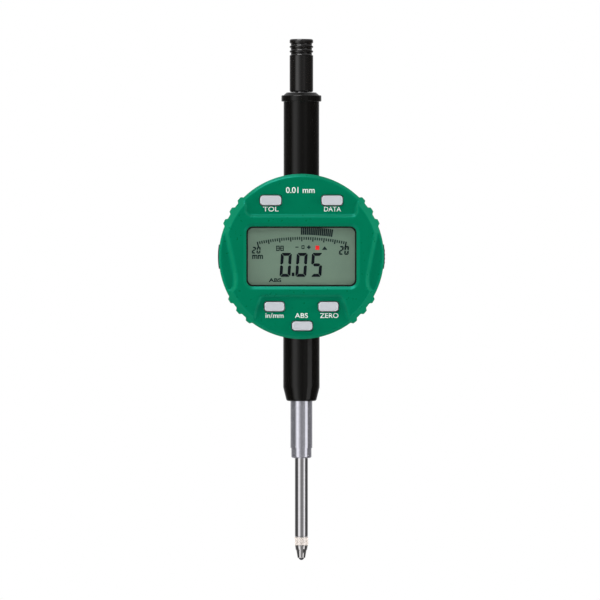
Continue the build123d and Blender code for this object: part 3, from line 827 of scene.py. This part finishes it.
def add_sheet(bm, places, triangles, height_at, hole_at):
    """Triangles over the dial, without those inside the window and key holes."""
    u = np.array([p.x for p in places])
    v = np.array([p.y for p in places])
    heights = height_at(u, v)
    made = [bm.verts.new(on_dial(a, b, d)) for a, b, d in zip(u, v, heights)]
    corners = np.array(triangles)
    middle_u = u[corners].mean(axis=1)
    middle_v = v[corners].mean(axis=1)
    keep = hole_at(middle_u, middle_v) > 0
    for key in KEYS:
        keep &= from_key(middle_u, middle_v, key) > 0
    for triangle in corners[keep]:
        bm.faces.new([made[i] for i in triangle])


def seat_loop():
    """The rebate behind the window's opening, with as many points as the opening."""
    loop = []
    for u, v in window_loop(0.0):
        loop.append((u * (WINDOW_W + REBATE_W) / WINDOW_W, v * (WINDOW_H + REBATE_H) / WINDOW_H))
    return loop


def add_inner_floor(bm):
    """The inside of the front wall, round the window's rebate and the key holes."""
    seat = seat_loop()
    places, triangles = triangulate([circle(CUP_R), seat] + [key_loop(key, 0.0) for key in KEYS], [])
    add_sheet(
        bm, places, triangles,
        lambda u, v: np.full(u.shape, FLOOR_D),
        lambda u, v: from_polygon(seat, u, v),
    )


def outline_loop(bm, inward, depth_at):
    """New vertices round the case's outline, set in by a little, at a depth for each radius."""
    loop = []
    for a, r in zip(OUTLINE, OUTLINE_R):
        loop.append(on_dial(*polar(r - inward, a), depth_at(r)))
    return add_loop(bm, loop)


BACK_EDGE = ((0.0, 0.45), (0.12, 0.14), (0.4, 0.0))    # in from the side, up from the back


def add_walls(bm):
    """The side, back edge and inside of the cup."""
    loops = [outline_loop(bm, 0.0, lambda r: float(softer_min(FACE_D, rim_height(r), CREST_SOFT)))]
    for inward, rise in BACK_EDGE:
        loops.append(outline_loop(bm, inward, lambda r, rise=rise: BACK_D + rise))
    loops.append(level_loop(bm, circle(CUP_R), BACK_D))
    loops.append(level_loop(bm, circle(CUP_R), FLOOR_D))
    skin(bm, loops)


def edge_loop(bm, outline):
    """New vertices along an outline on the front surface of the case."""
    heights = case_height([p[0] for p in outline], [p[1] for p in outline])
    return add_loop(bm, [on_dial(u, v, d) for (u, v), d in zip(outline, heights)])


def add_holes(bm):
    """The walls of the window's opening and rebate and of the key holes."""
    opening = window_loop(0.0)
    skin(bm, [
        edge_loop(bm, opening), level_loop(bm, opening, WINDOW_SEAT_D),
        level_loop(bm, seat_loop(), WINDOW_SEAT_D), level_loop(bm, seat_loop(), FLOOR_D),
    ])
    for key in KEYS:
        hole = key_loop(key, 0.0)
        skin(bm, [edge_loop(bm, hole), level_loop(bm, hole, FLOOR_D)])


def make_front_case():
    """The moulded front of the display, with its rim, grips, panels and openings."""
    bm = bmesh.new()
    add_front(bm)
    add_walls(bm)
    add_holes(bm)
    add_inner_floor(bm)
    case = new_object("case_shell", mesh_from(bm, "case_shell"), FINISHES["green_plastic"])
    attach(case, "display")
    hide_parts("front_case")


# ------------------------------------------------------------------ what repeats
def array_tree():
    """Copies of a part on an arc about Z: how many, how far out, from which angle and how
    far apart. The part's own X points away from the arc's centre."""
    tree = bpy.data.node_groups.new("parts_on_an_arc", "GeometryNodeTree")
    face = tree.interface
    face.new_socket("Geometry", in_out="OUTPUT", socket_type="NodeSocketGeometry")
    for label, kind in (
        ("Part", "NodeSocketObject"), ("Count", "NodeSocketInt"), ("Radius", "NodeSocketFloat"),
        ("Start", "NodeSocketFloat"), ("Step", "NodeSocketFloat"), ("Material", "NodeSocketMaterial"),
    ):
        face.new_socket(label, in_out="INPUT", socket_type=kind)
    nodes = tree.nodes
    source = nodes.new("NodeGroupInput")
    result = nodes.new("NodeGroupOutput")

    def math_node(operation, *values):
        node = nodes.new("ShaderNodeMath")
        node.operation = operation
        for slot, value in enumerate(values):
            tree.links.new(value, node.inputs[slot])
        return node.outputs[0]

    index = nodes.new("GeometryNodeInputIndex")
    along = math_node("MULTIPLY", index.outputs[0], source.outputs["Step"])
    angle = math_node("ADD", along, source.outputs["Start"])
    x = math_node("MULTIPLY", math_node("COSINE", angle), source.outputs["Radius"])
    y = math_node("MULTIPLY", math_node("SINE", angle), source.outputs["Radius"])
    place = nodes.new("ShaderNodeCombineXYZ")
    tree.links.new(x, place.inputs["X"])
    tree.links.new(y, place.inputs["Y"])
    points = nodes.new("GeometryNodePoints")
    tree.links.new(source.outputs["Count"], points.inputs["Count"])
    tree.links.new(place.outputs[0], points.inputs["Position"])
    euler = nodes.new("ShaderNodeCombineXYZ")
    tree.links.new(angle, euler.inputs["Z"])
    turn = nodes.new("FunctionNodeEulerToRotation")
    tree.links.new(euler.outputs[0], turn.inputs[0])
    part = nodes.new("GeometryNodeObjectInfo")
    tree.links.new(source.outputs["Part"], part.inputs["Object"])
    instance = nodes.new("GeometryNodeInstanceOnPoints")
    tree.links.new(points.outputs[0], instance.inputs["Points"])
    tree.links.new(part.outputs["Geometry"], instance.inputs["Instance"])
    tree.links.new(turn.outputs[0], instance.inputs["Rotation"])
    realize = nodes.new("GeometryNodeRealizeInstances")
    tree.links.new(instance.outputs[0], realize.inputs[0])
    paint = nodes.new("GeometryNodeSetMaterial")
    tree.links.new(realize.outputs[0], paint.inputs["Geometry"])
    tree.links.new(source.outputs["Material"], paint.inputs["Material"])
    tree.links.new(paint.outputs[0], result.inputs[0])
    return tree


PARTS_ON_AN_ARC = array_tree()
TO_DIAL = Matrix.Translation((0, 0, DIAL_Z)) @ Matrix.Rotation(math.radians(90), 4, "X")


def box_outline(left, right, bottom, top):
    """The corners of an upright rectangle."""
    return [(left, bottom), (right, bottom), (right, top), (left, top)]


def bar(length, width, low, high):
    """A small bar about the origin: length along X, width along Y, from low to high in Z."""
    bm = bmesh.new()
    outline = box_outline(-length / 2, length / 2, -width / 2, width / 2)
    bottom = add_loop(bm, [(x, y, low) for x, y in outline])
    top = add_loop(bm, [(x, y, high) for x, y in outline])
    bridge(bm, bottom, top)
    bm.faces.new(top)
    bm.faces.new(bottom[::-1])
    return loose_part(bm, "bar")


def on_an_arc(name, part, count, radius, start, step, material, place=None):
    """Repeat a part on an arc and return the result as one plain mesh object."""
    holder = bpy.data.objects.new(name + "_holder", bpy.data.meshes.new(name + "_holder"))
    scene_objects = bpy.context.scene.collection.objects
    scene_objects.link(holder)
    scene_objects.link(part)
    modifier = holder.modifiers.new("parts", "NODES")
    modifier.node_group = PARTS_ON_AN_ARC
    values = {
        "Part": part, "Count": count, "Radius": radius, "Start": start, "Step": step, "Material": material,
    }
    for item in PARTS_ON_AN_ARC.interface.items_tree:
        if item.in_out == "INPUT":
            modifier[item.identifier] = values[item.name]
    bpy.context.view_layer.update()
    graph = bpy.context.evaluated_depsgraph_get()
    mesh = bpy.data.meshes.new_from_object(holder.evaluated_get(graph))
    mesh.name = name
    if place is not None:
        mesh.transform(place)
    holder.modifiers.remove(modifier)
    bpy.data.objects.remove(holder)
    bpy.data.objects.remove(part)
    return new_object(name, mesh, material)


# ------------------------------------------------------------------ the read-out
def lettering(name, words, centre, size, back, front, material, weight=0.004):
    """Words made to fill a box on the dial, as a thin solid between two depths."""
    curve = bpy.data.curves.new(name, "FONT")
    curve.body = words
    curve.resolution_u = 5
    curve.offset = weight
    curve.extrude = 0.5
    text = bpy.data.objects.new(name, curve)
    bpy.context.scene.collection.objects.link(text)
    bpy.context.view_layer.update()
    graph = bpy.context.evaluated_depsgraph_get()
    mesh = bpy.data.meshes.new_from_object(text.evaluated_get(graph))
    bpy.data.objects.remove(text)
    co = np.array([v.co for v in mesh.vertices])
    low, high = co.min(axis=0), co.max(axis=0)
    for vertex in mesh.vertices:
        share = [(vertex.co[i] - low[i]) / (high[i] - low[i]) for i in range(3)]
        u = centre[0] + (share[0] - 0.5) * size[0]
        v = centre[1] + (share[1] - 0.5) * size[1]
        vertex.co = on_dial(u, v, back + (front - back) * share[2])
    bm = bmesh.new()
    bm.from_mesh(mesh)
    return new_object(name, mesh_from(bm, name), material)


def mark(bm, outline):
    """One dark mark of the liquid crystal."""
    plate(bm, outline, INK_BACK_D, INK_FRONT_D)


def digit(bm, segments, left, bottom, width, height, stroke, lean=0.067):
    """One slanted seven-segment figure; segments names which of a to g are on."""
    gap = stroke * 0.09
    cut = stroke * 0.45
    half = height / 2

    def mirrored(outline, x_too, y_too):
        flipped = [((width - x) if x_too else x, (height - y) if y_too else y) for x, y in outline]
        return flipped if x_too == y_too else flipped[::-1]

    across = [
        (cut, height), (cut / 2 + gap, height - cut / 2), (stroke + gap, height - stroke),
        (width - stroke - gap, height - stroke), (width - cut / 2 - gap, height - cut / 2),
        (width - cut, height),
    ]
    upright = [
        (0.0, height - cut), (0.0, half + stroke * 0.35), (cut, half + gap),
        (stroke, half + stroke * 0.5 + gap), (stroke, height - stroke - gap),
        (cut / 2, height - cut / 2 - gap),
    ]
    middle = [
        (stroke * 0.5 + gap, half), (stroke + gap, half - stroke / 2),
        (width - stroke - gap, half - stroke / 2), (width - stroke * 0.5 - gap, half),
        (width - stroke - gap, half + stroke / 2), (stroke + gap, half + stroke / 2),
    ]
    shapes = {
        "a": across, "b": mirrored(upright, True, False), "c": mirrored(upright, True, True),
        "d": mirrored(across, False, True), "e": mirrored(upright, False, True), "f": upright, "g": middle,
    }
    for letter in segments:
        mark(bm, [(left + x + (y - height) * lean, bottom + y) for x, y in shapes[letter]])


SEGMENTS = {"0": "abcdef", "2": "abged", "5": "afgcd"}


def show_on_glass(piece):
    """A mark of the liquid crystal rides on the display."""
    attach(piece, "display")


def make_reading():
    """The large figures, the small signs and the coloured mark on the glass."""
    bm = bmesh.new()
    for figure, left in (("0", -7.4), ("0", -1.65), ("5", 3.85)):
        digit(bm, SEGMENTS[figure], left, -7.4, 3.95, 8.7, 1.08)
    mark(bm, box_outline(-3.5, -2.55, -7.15, -5.85))
    show_on_glass(new_object("reading_figures", mesh_from(bm, "reading_figures"), CRYSTAL_DARK))
    bm = bmesh.new()
    mark(bm, [(7.45, 2.4), (9.45, 2.4), (8.45, 3.7)])
    mark(bm, box_outline(2.05, 3.35, 3.1, 3.6))
    plate(bm, box_outline(2.45, 2.95, 2.7, 4.0), INK_FRONT_D, INK_FRONT_D + 0.01)
    mark(bm, box_outline(-2.2, -1.05, 3.2, 3.55))
    for sides in (
        (-9.15, -7.9, 2.0, 2.35), (-9.15, -7.9, 3.55, 3.9), (-7.65, -6.4, 2.0, 2.35),
        (-7.65, -6.4, 3.55, 3.9), (-9.15, -8.85, 2.0, 3.9), (-8.2, -7.9, 2.0, 3.9),
        (-7.65, -7.35, 2.0, 3.9), (-6.7, -6.4, 2.0, 3.9), (-9.15, -6.4, 2.85, 3.15),
    ):
        mark(bm, box_outline(*sides))
    digit(bm, SEGMENTS["0"], 0.0, 2.72, 1.15, 1.35, 0.36, 0.0)
    show_on_glass(new_object("reading_signs", mesh_from(bm, "reading_signs"), CRYSTAL_GREY))
    bm = bmesh.new()
    mark(bm, box_outline(5.1, 6.5, 2.4, 3.9))
    show_on_glass(new_object("reading_red_mark", mesh_from(bm, "reading_red_mark"), CRYSTAL_RED))
    for name, words, centre, size in (
        ("reading_unit", "mm", (-15.9, -0.15), (3.9, 1.5)),
        ("reading_mode", "ABS", (-9.6, -8.6), (4.6, 1.4)),
    ):
        show_on_glass(lettering(name, words, centre, size, INK_BACK_D, INK_FRONT_D, CRYSTAL_GREY, 0.03))
    bm = bmesh.new()
    for left, bottom, width, height in ((-17.85, 1.05, 1.4, 2.45), (13.8, 0.6, 1.6, 3.2)):
        for figure in "20":
            digit(bm, SEGMENTS[figure], left, bottom, width, height, width * 0.36)
            left += width * 1.2
    show_on_glass(new_object("reading_scale_ends", mesh_from(bm, "reading_scale_ends"), CRYSTAL_GREY))


SCALE_R = 75.0                # radius of the curved scale on the glass
SCALE_CROWN = (0.15, 7.1)     # the middle of its upper edge
SCALE_TICKS = 41
SCALE_HALF = math.asin(16.15 / SCALE_R)
BAR_COUNT = 17
BAR_PITCH, BAR_LENGTH, BAR_WIDTH = 0.69, 2.75, 0.54
BAR_START = 0.1               # how far right of the dial's axis the bars begin


def make_scale():
    """The curved scale, with a longer tick at every fifth place, and the bar above it."""
    to_crown = Matrix.Translation((SCALE_CROWN[0] * MM, 0, (SCALE_CROWN[1] - SCALE_R) * MM))
    place = to_crown @ TO_DIAL
    low, high = INK_BACK_D * MM, INK_FRONT_D * MM
    step = -2 * SCALE_HALF / (SCALE_TICKS - 1)
    start = math.pi / 2 + SCALE_HALF
    for name, count, length, width, every in (
        ("scale_ticks", SCALE_TICKS, 1.05, 0.42, 1),
        ("scale_long_ticks", 9, 1.6, 0.44, 5),
        ("scale_end_ticks", 2, 2.4, 0.46, 40),
    ):
        lift = 0.004 * MM * every     # longer ticks stand over the short ones they cover
        part = bar(length * MM, width * MM, low, high + lift)
        radius = (SCALE_R - length / 2) * MM
        show_on_glass(on_an_arc(name, part, count, radius, start, step * every, CRYSTAL_GREY, place))
    angle = BAR_PITCH / (SCALE_R + 2.2)
    first = math.pi / 2 - math.asin((BAR_START - SCALE_CROWN[0]) / SCALE_R)
    part = bar(BAR_LENGTH * MM, BAR_WIDTH * MM, low, high)
    radius = (SCALE_R + 2.15) * MM
    show_on_glass(on_an_arc("scale_bars", part, BAR_COUNT, radius, first, -angle, CRYSTAL_GREY, place))


def make_window_shade_border():
    """An even black frame just behind the window, round the glass. It stands for the dark line round the
    liquid crystal, which is partly shade cast by the opening's walls, so the frame is partly painted shade.
    """
    bm = bmesh.new()
    inner = rounded_loop(WINDOW_W - 2 * BORDER, WINDOW_H - 2 * BORDER, WINDOW_CORNER - 0.3)
    outer = [(u * 1.06, v * 1.09) for u, v in inner]
    back, front = WINDOW_BACK_D - 0.06, WINDOW_BACK_D - 0.03
    rings = []
    for loop, d in ((inner, back), (outer, back), (outer, front), (inner, front)):
        rings.append(level_loop(bm, loop, d))
    skin(bm, rings + rings[:1])
    border = new_object("window_border", mesh_from(bm, "window_border"), BLACK_FRAME_AND_SHADE)
    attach(border, "display")


def make_labels():
    """The white words by the keys and the reading step at the top."""
    floor = FACE_D - PANEL_DEPTH
    for name, words, centre, size in (
        ("label_in_mm", "in/mm", (-9.75, -21.4), (6.5, 1.85)),
        ("label_abs", "ABS", (0.0, -21.45), (4.7, 1.75)),
        ("label_zero", "ZERO", (10.1, -21.45), (6.7, 1.75)),
        ("label_tol", "TOL", (-11.1, 17.2), (5.6, 1.7)),
        ("label_data", "DATA", (11.3, 17.2), (6.1, 1.7)),
        ("label_step", "0.01 mm", (-0.4, 24.1), (10.4, 2.15)),
    ):
        words_piece = lettering(name, words, centre, size, floor - 0.01, floor + 0.025, WHITE_INK)
        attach(words_piece, "display")


# ------------------------------------------------------------------ the contact
BASE_RISE, BASE_HEIGHT = 4.4 * MM, 3.5 * MM     # the gripping base, up from the contact's tip
KNURL_TEETH = 60
KNURL_PROUD = 0.03 * MM
SUNK = 0.02 * MM                                # how far a tooth's foot is below the surface


def knurl_tooth(low, high, proud, half):
    """One tooth between two heights, rounded across and run out at both ends."""
    bm = bmesh.new()
    rings = []
    for z, share in (
        (low + 0.3 * MM, 0.0), (low + 0.42 * MM, 1.0), (high - 0.42 * MM, 1.0), (high - 0.3 * MM, 0.0),
    ):
        top = proud * share
        rings.append(add_loop(bm, [
            (-SUNK, -half, z), (top * 0.9, -half * 0.25, z), (top, 0, z),
            (top * 0.9, half * 0.25, z), (-SUNK, half, z),
        ]))
    skin(bm, rings)
    bm.faces.new(rings[0])
    bm.faces.new(rings[-1])
    return loose_part(bm, "tooth")


def make_contact():
    """The contact that screws into the spindle: gripping base, stepped cone and ball seat."""
    low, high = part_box("contact_point")
    ball_low, ball_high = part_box("contact_ball")
    ball_r = (ball_high.z - ball_low.z) / 2
    ball_z = (ball_high.z + ball_low.z) / 2
    seat_r = ball_r * 0.97
    base_r = high.x
    base_low = low.z + BASE_RISE
    base_high = base_low + BASE_HEIGHT
    root_r = base_r - KNURL_PROUD
    profile = [
        (0.0, ball_z + ball_r), (seat_r * 0.2, ball_z + ball_r), (seat_r, ball_z - ball_r * 0.22),
        (1.18 * MM, low.z + 0.02 * MM), (1.4 * MM, low.z + 0.2 * MM), (1.85 * MM, base_low - 1.6 * MM),
        (1.97 * MM, base_low - 1.45 * MM), (2.08 * MM, base_low - 1.3 * MM), (2.24 * MM, base_low - 0.3 * MM),
        (2.3 * MM, base_low), (root_r - 0.2 * MM, base_low), (root_r, base_low + 0.22 * MM),
        (root_r, base_high - 0.22 * MM),
        (root_r - 0.2 * MM, base_high), (1.25 * MM, base_high), (1.25 * MM, high.z - 0.2 * MM),
        (1.05 * MM, high.z), (0.0, high.z),
    ]
    body = turned("contact_body", profile, FINISHES["contact_steel"])
    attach(body, "spindle")
    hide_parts("contact_point")
    tooth = knurl_tooth(base_low, base_high, base_r - root_r, math.pi * root_r / KNURL_TEETH * 0.98)
    knurl = on_an_arc("contact_knurl", tooth, KNURL_TEETH, root_r, 0.0, math.tau / KNURL_TEETH, KNURLED_STEEL)
    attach(knurl, "spindle")


# ------------------------------------------------------------------ the return spring
SPRING_WIRE = 0.25 * MM       # radius of the wire
SPRING_TURNS = 14
WIRE_SIDES = 8
STEPS_A_TURN = 28


def make_spring():
    """The coil round the spindle, held at its upper end."""
    low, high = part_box("return_spring")
    radius = high.x - SPRING_WIRE
    start, end = low.z + SPRING_WIRE, high.z - SPRING_WIRE
    steps = SPRING_TURNS * STEPS_A_TURN
    angles = [math.tau * j / WIRE_SIDES for j in range(WIRE_SIDES)]
    bm = bmesh.new()
    loops = []
    for i in range(steps + 1):
        share = i / steps
        turn = math.tau * SPRING_TURNS * share
        out = Vector((math.cos(turn), math.sin(turn), 0))
        middle = out * radius + Vector((0, 0, start + (end - start) * share))
        ring = [middle + (out * math.cos(b) + Vector((0, 0, math.sin(b)))) * SPRING_WIRE for b in angles]
        loops.append(add_loop(bm, ring))
    skin(bm, loops)
    bm.faces.new(loops[0])
    bm.faces.new(loops[-1])
    coil = new_object("spring_coil", mesh_from(bm, "spring_coil", 60.0), FINISHES["spring_steel"])
    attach(coil, "measuring_body")
    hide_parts("return_spring")
    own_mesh(coil)


# ------------------------------------------------------------------ covers
RIB_COUNT = 4
RIB_PROUD = 0.1 * MM
RIB_WIDTH, RIB_PITCH = 0.55 * MM, 1.5 * MM
RIB_MARGIN = 1.0 * MM                     # from a rib's end to the cover's edge
RING_R, RING_WIDTH, RING_PROUD = 13.2 * MM, 1.15 * MM, 0.35 * MM
RING_CHAMFER = 0.15 * MM
RING_STEPS = 160


def make_cover_ribs():
    """Finger ribs on the outer face of the data cover."""
    low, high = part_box("data_cover")
    part = bar(2 * RIB_PROUD, RIB_WIDTH, -(high.y - RIB_MARGIN), -(low.y + RIB_MARGIN))
    step = RIB_PITCH / high.x
    first = -step * (RIB_COUNT - 1) / 2
    rubber_finish = FINISHES["cover_rubber"]
    ribs = on_an_arc("data_cover_ribs", part, RIB_COUNT, high.x, first, step, rubber_finish, TO_DIAL)
    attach(ribs, "data_cover")


def make_cover_ring():
    """The raised ring moulded on the back cover, inside its screws."""
    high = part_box("back_cover")[1]
    outer = RING_R + RING_WIDTH
    profile = (
        (RING_R, -0.1 * MM), (RING_R, RING_PROUD * 0.5), (RING_R + RING_CHAMFER, RING_PROUD),
        (outer - RING_CHAMFER, RING_PROUD), (outer, RING_PROUD * 0.5), (outer, -0.1 * MM),
    )
    bm = bmesh.new()
    loops = []
    for radius, stand in profile:
        ring = []
        for i in range(RING_STEPS):
            a = math.tau * i / RING_STEPS
            ring.append((radius * math.cos(a), high.y + stand, DIAL_Z + radius * math.sin(a)))
        loops.append(add_loop(bm, ring))
    skin(bm, loops + loops[:1])
    ring = new_object("cover_ring", mesh_from(bm, "cover_ring"), FINISHES["black_plastic"])
    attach(ring, "measuring_body")


# ------------------------------------------------------------------ floor, light and camera
FLOOR_Z = -0.10
FLOOR_R = 1.3
FADE_START, FADE_END = 0.16, 0.42     # where the floor runs out into white, from its middle


def make_floor():
    """A plain pale floor that runs out into the white of the room."""
    bm = bmesh.new()
    bmesh.ops.create_circle(bm, cap_ends=True, radius=FLOOR_R, segments=96)
    bmesh.ops.translate(bm, verts=bm.verts, vec=(0, 0, FLOOR_Z))
    mesh = bpy.data.meshes.new("floor")
    bm.to_mesh(mesh)
    bm.free()
    made = Finish("floor", (0.82, 0.82, 0.82, 1.0), 0.9)
    made.set("Specular IOR Level", 0.0)
    made.tint(made.noise(40 * MM, 2.0), (0.79, 0.79, 0.8, 1.0), 0.5)
    nodes, links = made.nodes, made.tree.links
    distance = nodes.new("ShaderNodeVectorMath")
    distance.operation = "LENGTH"
    links.new(made.coords.outputs["Object"], distance.inputs[0])
    fade = made.spread(distance.outputs["Value"], 0.0, 1.0, FADE_START, FADE_END)
    path = nodes.new("ShaderNodeLightPath")
    seen = nodes.new("ShaderNodeMath")
    seen.operation = "MAXIMUM"
    links.new(path.outputs["Is Camera Ray"], seen.inputs[0])
    links.new(path.outputs["Is Transmission Ray"], seen.inputs[1])
    share = nodes.new("ShaderNodeMath")
    share.operation = "MULTIPLY"
    links.new(seen.outputs[0], share.inputs[0])
    links.new(fade, share.inputs[1])
    glow = nodes.new("ShaderNodeEmission")
    mix = nodes.new("ShaderNodeMixShader")
    links.new(share.outputs[0], mix.inputs["Fac"])
    links.new(made.shader.outputs[0], mix.inputs[1])
    links.new(glow.outputs[0], mix.inputs[2])
    links.new(mix.outputs[0], nodes["Material Output"].inputs["Surface"])
    floor = new_object("floor", mesh, made.material)
    floor.visible_glossy = False


# Light that polished metal mirrors, by compass angle from straight in front of the dial.
STUDIO_BANDS = (
    (-180, 0.80), (-155, 0.45), (-125, 0.10), (-98, 0.06), (-70, 0.06), (-61, 0.40), (-48, 1.00),
    (-34, 0.95), (-20, 0.46), (-6, 0.22), (6, 0.17), (18, 0.22), (30, 0.26), (42, 0.12), (88, 0.05),
    (105, 0.06), (128, 0.10), (155, 0.40), (180, 0.80),
)
OVERHEAD_TONE = (0.55, 0.55, 0.56, 1.0)
OVERHEAD_RISE = 1.6           # how fast that tone takes over as a ray points up
OVERHEAD_SOFT = 0.2
FRONT_LEVEL = 0.12            # light of the room on matte surfaces, from before the dial
REAR_LEVEL = 1.0              # from behind it
SIDE_LEVEL = 0.3              # and added to either side
REAR_START, REAR_END = -0.62, -0.1    # how far back a ray points as front turns to rear
SIDE_START, SIDE_END = 0.5, 0.95      # how far sideways a ray points as the sides are added


def make_world():
    """A white room. Polished metal sees two tall soft boxes in it with darkness between."""
    world = bpy.data.worlds.new("room")
    bpy.context.scene.world = world
    world.use_nodes = True
    world.cycles.sampling_method = "NONE"
    nodes, links = world.node_tree.nodes, world.node_tree.links
    nodes.clear()

    def calc(operation, *values):
        node = nodes.new("ShaderNodeMath")
        node.operation = operation
        for slot, value in enumerate(values):
            if isinstance(value, (int, float)):
                node.inputs[slot].default_value = value
            else:
                links.new(value, node.inputs[slot])
        return node.outputs[0]

    coords = nodes.new("ShaderNodeTexCoord")
    split = nodes.new("ShaderNodeSeparateXYZ")
    links.new(coords.outputs["Generated"], split.inputs[0])
    bearing = calc("ARCTAN2", split.outputs["X"], calc("MULTIPLY", split.outputs["Y"], -1.0))
    along = calc("ADD", calc("DIVIDE", bearing, math.tau), 0.5)
    ramp = nodes.new("ShaderNodeValToRGB")
    links.new(along, ramp.inputs["Fac"])
    stops = ramp.color_ramp.elements
    for i, (angle, light) in enumerate(STUDIO_BANDS):
        place = angle / 360 + 0.5
        stop = stops[i] if i < 2 else stops.new(place)
        stop.position = place
        stop.color = (light, light, light, 1.0)
    upward = calc("MAXIMUM", calc("MULTIPLY", split.outputs["Z"], OVERHEAD_RISE), 0.0)
    overhead = calc("SMOOTH_MIN", upward, 1.0, OVERHEAD_SOFT)
    toned = nodes.new("ShaderNodeMix")
    toned.data_type = "RGBA"
    links.new(overhead, toned.inputs["Factor"])
    links.new(ramp.outputs["Color"], toned.inputs["A"])
    toned.inputs["B"].default_value = OVERHEAD_TONE
    path = nodes.new("ShaderNodeLightPath")
    depth = nodes.new("ShaderNodeMapRange")
    depth.interpolation_type = "SMOOTHSTEP"
    depth.inputs["From Min"].default_value = REAR_START
    depth.inputs["From Max"].default_value = REAR_END
    depth.inputs["To Min"].default_value = FRONT_LEVEL
    depth.inputs["To Max"].default_value = REAR_LEVEL
    links.new(split.outputs["Y"], depth.inputs["Value"])
    sides = nodes.new("ShaderNodeMapRange")
    sides.interpolation_type = "SMOOTHSTEP"
    sides.inputs["From Min"].default_value = SIDE_START
    sides.inputs["From Max"].default_value = SIDE_END
    sides.inputs["To Max"].default_value = SIDE_LEVEL
    links.new(calc("ABSOLUTE", split.outputs["X"]), sides.inputs["Value"])
    matte = nodes.new("ShaderNodeMix")
    matte.data_type = "RGBA"
    links.new(calc("ADD", depth.outputs["Result"], sides.outputs["Result"]), matte.inputs["A"])
    links.new(path.outputs["Is Glossy Ray"], matte.inputs["Factor"])
    links.new(toned.outputs["Result"], matte.inputs["B"])
    direct = calc("MAXIMUM", path.outputs["Is Camera Ray"], path.outputs["Is Transmission Ray"])
    whole = nodes.new("ShaderNodeMix")
    whole.data_type = "RGBA"
    links.new(direct, whole.inputs["Factor"])
    links.new(matte.outputs["Result"], whole.inputs["A"])
    whole.inputs["B"].default_value = (1.0, 1.0, 1.0, 1.0)
    background = nodes.new("ShaderNodeBackground")
    links.new(whole.outputs["Result"], background.inputs["Color"])
    output = nodes.new("ShaderNodeOutputWorld")
    links.new(background.outputs[0], output.inputs["Surface"])


def add_lamp(name, bearing, height, distance, size, power, aim_z=DIAL_Z, mirrored=True):
    """A soft box (width, height) aimed at a height on the spindle's line, at a compass angle
    from the dial's front and a height angle. Polished metal may be kept from showing it."""
    lamp = bpy.data.lights.new(name, "AREA")
    lamp.shape = "RECTANGLE"
    lamp.size, lamp.size_y = size
    lamp.energy = power
    holder = bpy.data.objects.new(name, lamp)
    bpy.context.scene.collection.objects.link(holder)
    a, e = math.radians(bearing), math.radians(height)
    away = Vector((math.sin(a) * math.cos(e), -math.cos(a) * math.cos(e), math.sin(e)))
    holder.location = Vector((0, 0, aim_z)) + away * distance
    holder.rotation_euler = away.to_track_quat("Z", "Y").to_euler()
    holder.visible_camera = False
    holder.visible_glossy = mirrored


CAMERA_DISTANCE = 4.0
VIEW_WIDTH = 0.2187
VIEW_CENTRE = (-0.00051, 0.04539)
FILM_WIDTH = 36.0


def make_camera():
    """A long lens level with the middle of the instrument."""
    camera = bpy.data.cameras.new("camera")
    camera.sensor_width = FILM_WIDTH
    camera.lens = FILM_WIDTH * CAMERA_DISTANCE / VIEW_WIDTH
    holder = bpy.data.objects.new("camera", camera)
    bpy.context.scene.collection.objects.link(holder)
    holder.location = (VIEW_CENTRE[0], -CAMERA_DISTANCE, VIEW_CENTRE[1])
    holder.rotation_euler = (math.radians(90), 0, 0)
    bpy.context.scene.camera = holder


dress_cad_nodes()
make_front_case()
make_window_shade_border()
make_reading()
make_scale()
make_labels()
make_contact()
make_spring()
make_cover_ribs()
make_cover_ring()
make_floor()
make_world()
add_lamp("key", -32.0, 58.0, 1.2, (0.7, 0.6), 8.0)
add_lamp("low_strip", 54.0, 0.0, 0.3, (0.16, 0.3), 0.12, -0.115)
add_lamp("left_wall", -82.0, 8.0, 1.0, (0.5, 0.6), 9.0, mirrored=False)
add_lamp("right_wall", 82.0, 8.0, 1.0, (0.5, 0.6), 9.0, mirrored=False)
make_camera()
bpy.context.scene.view_settings.view_transform = "Standard"
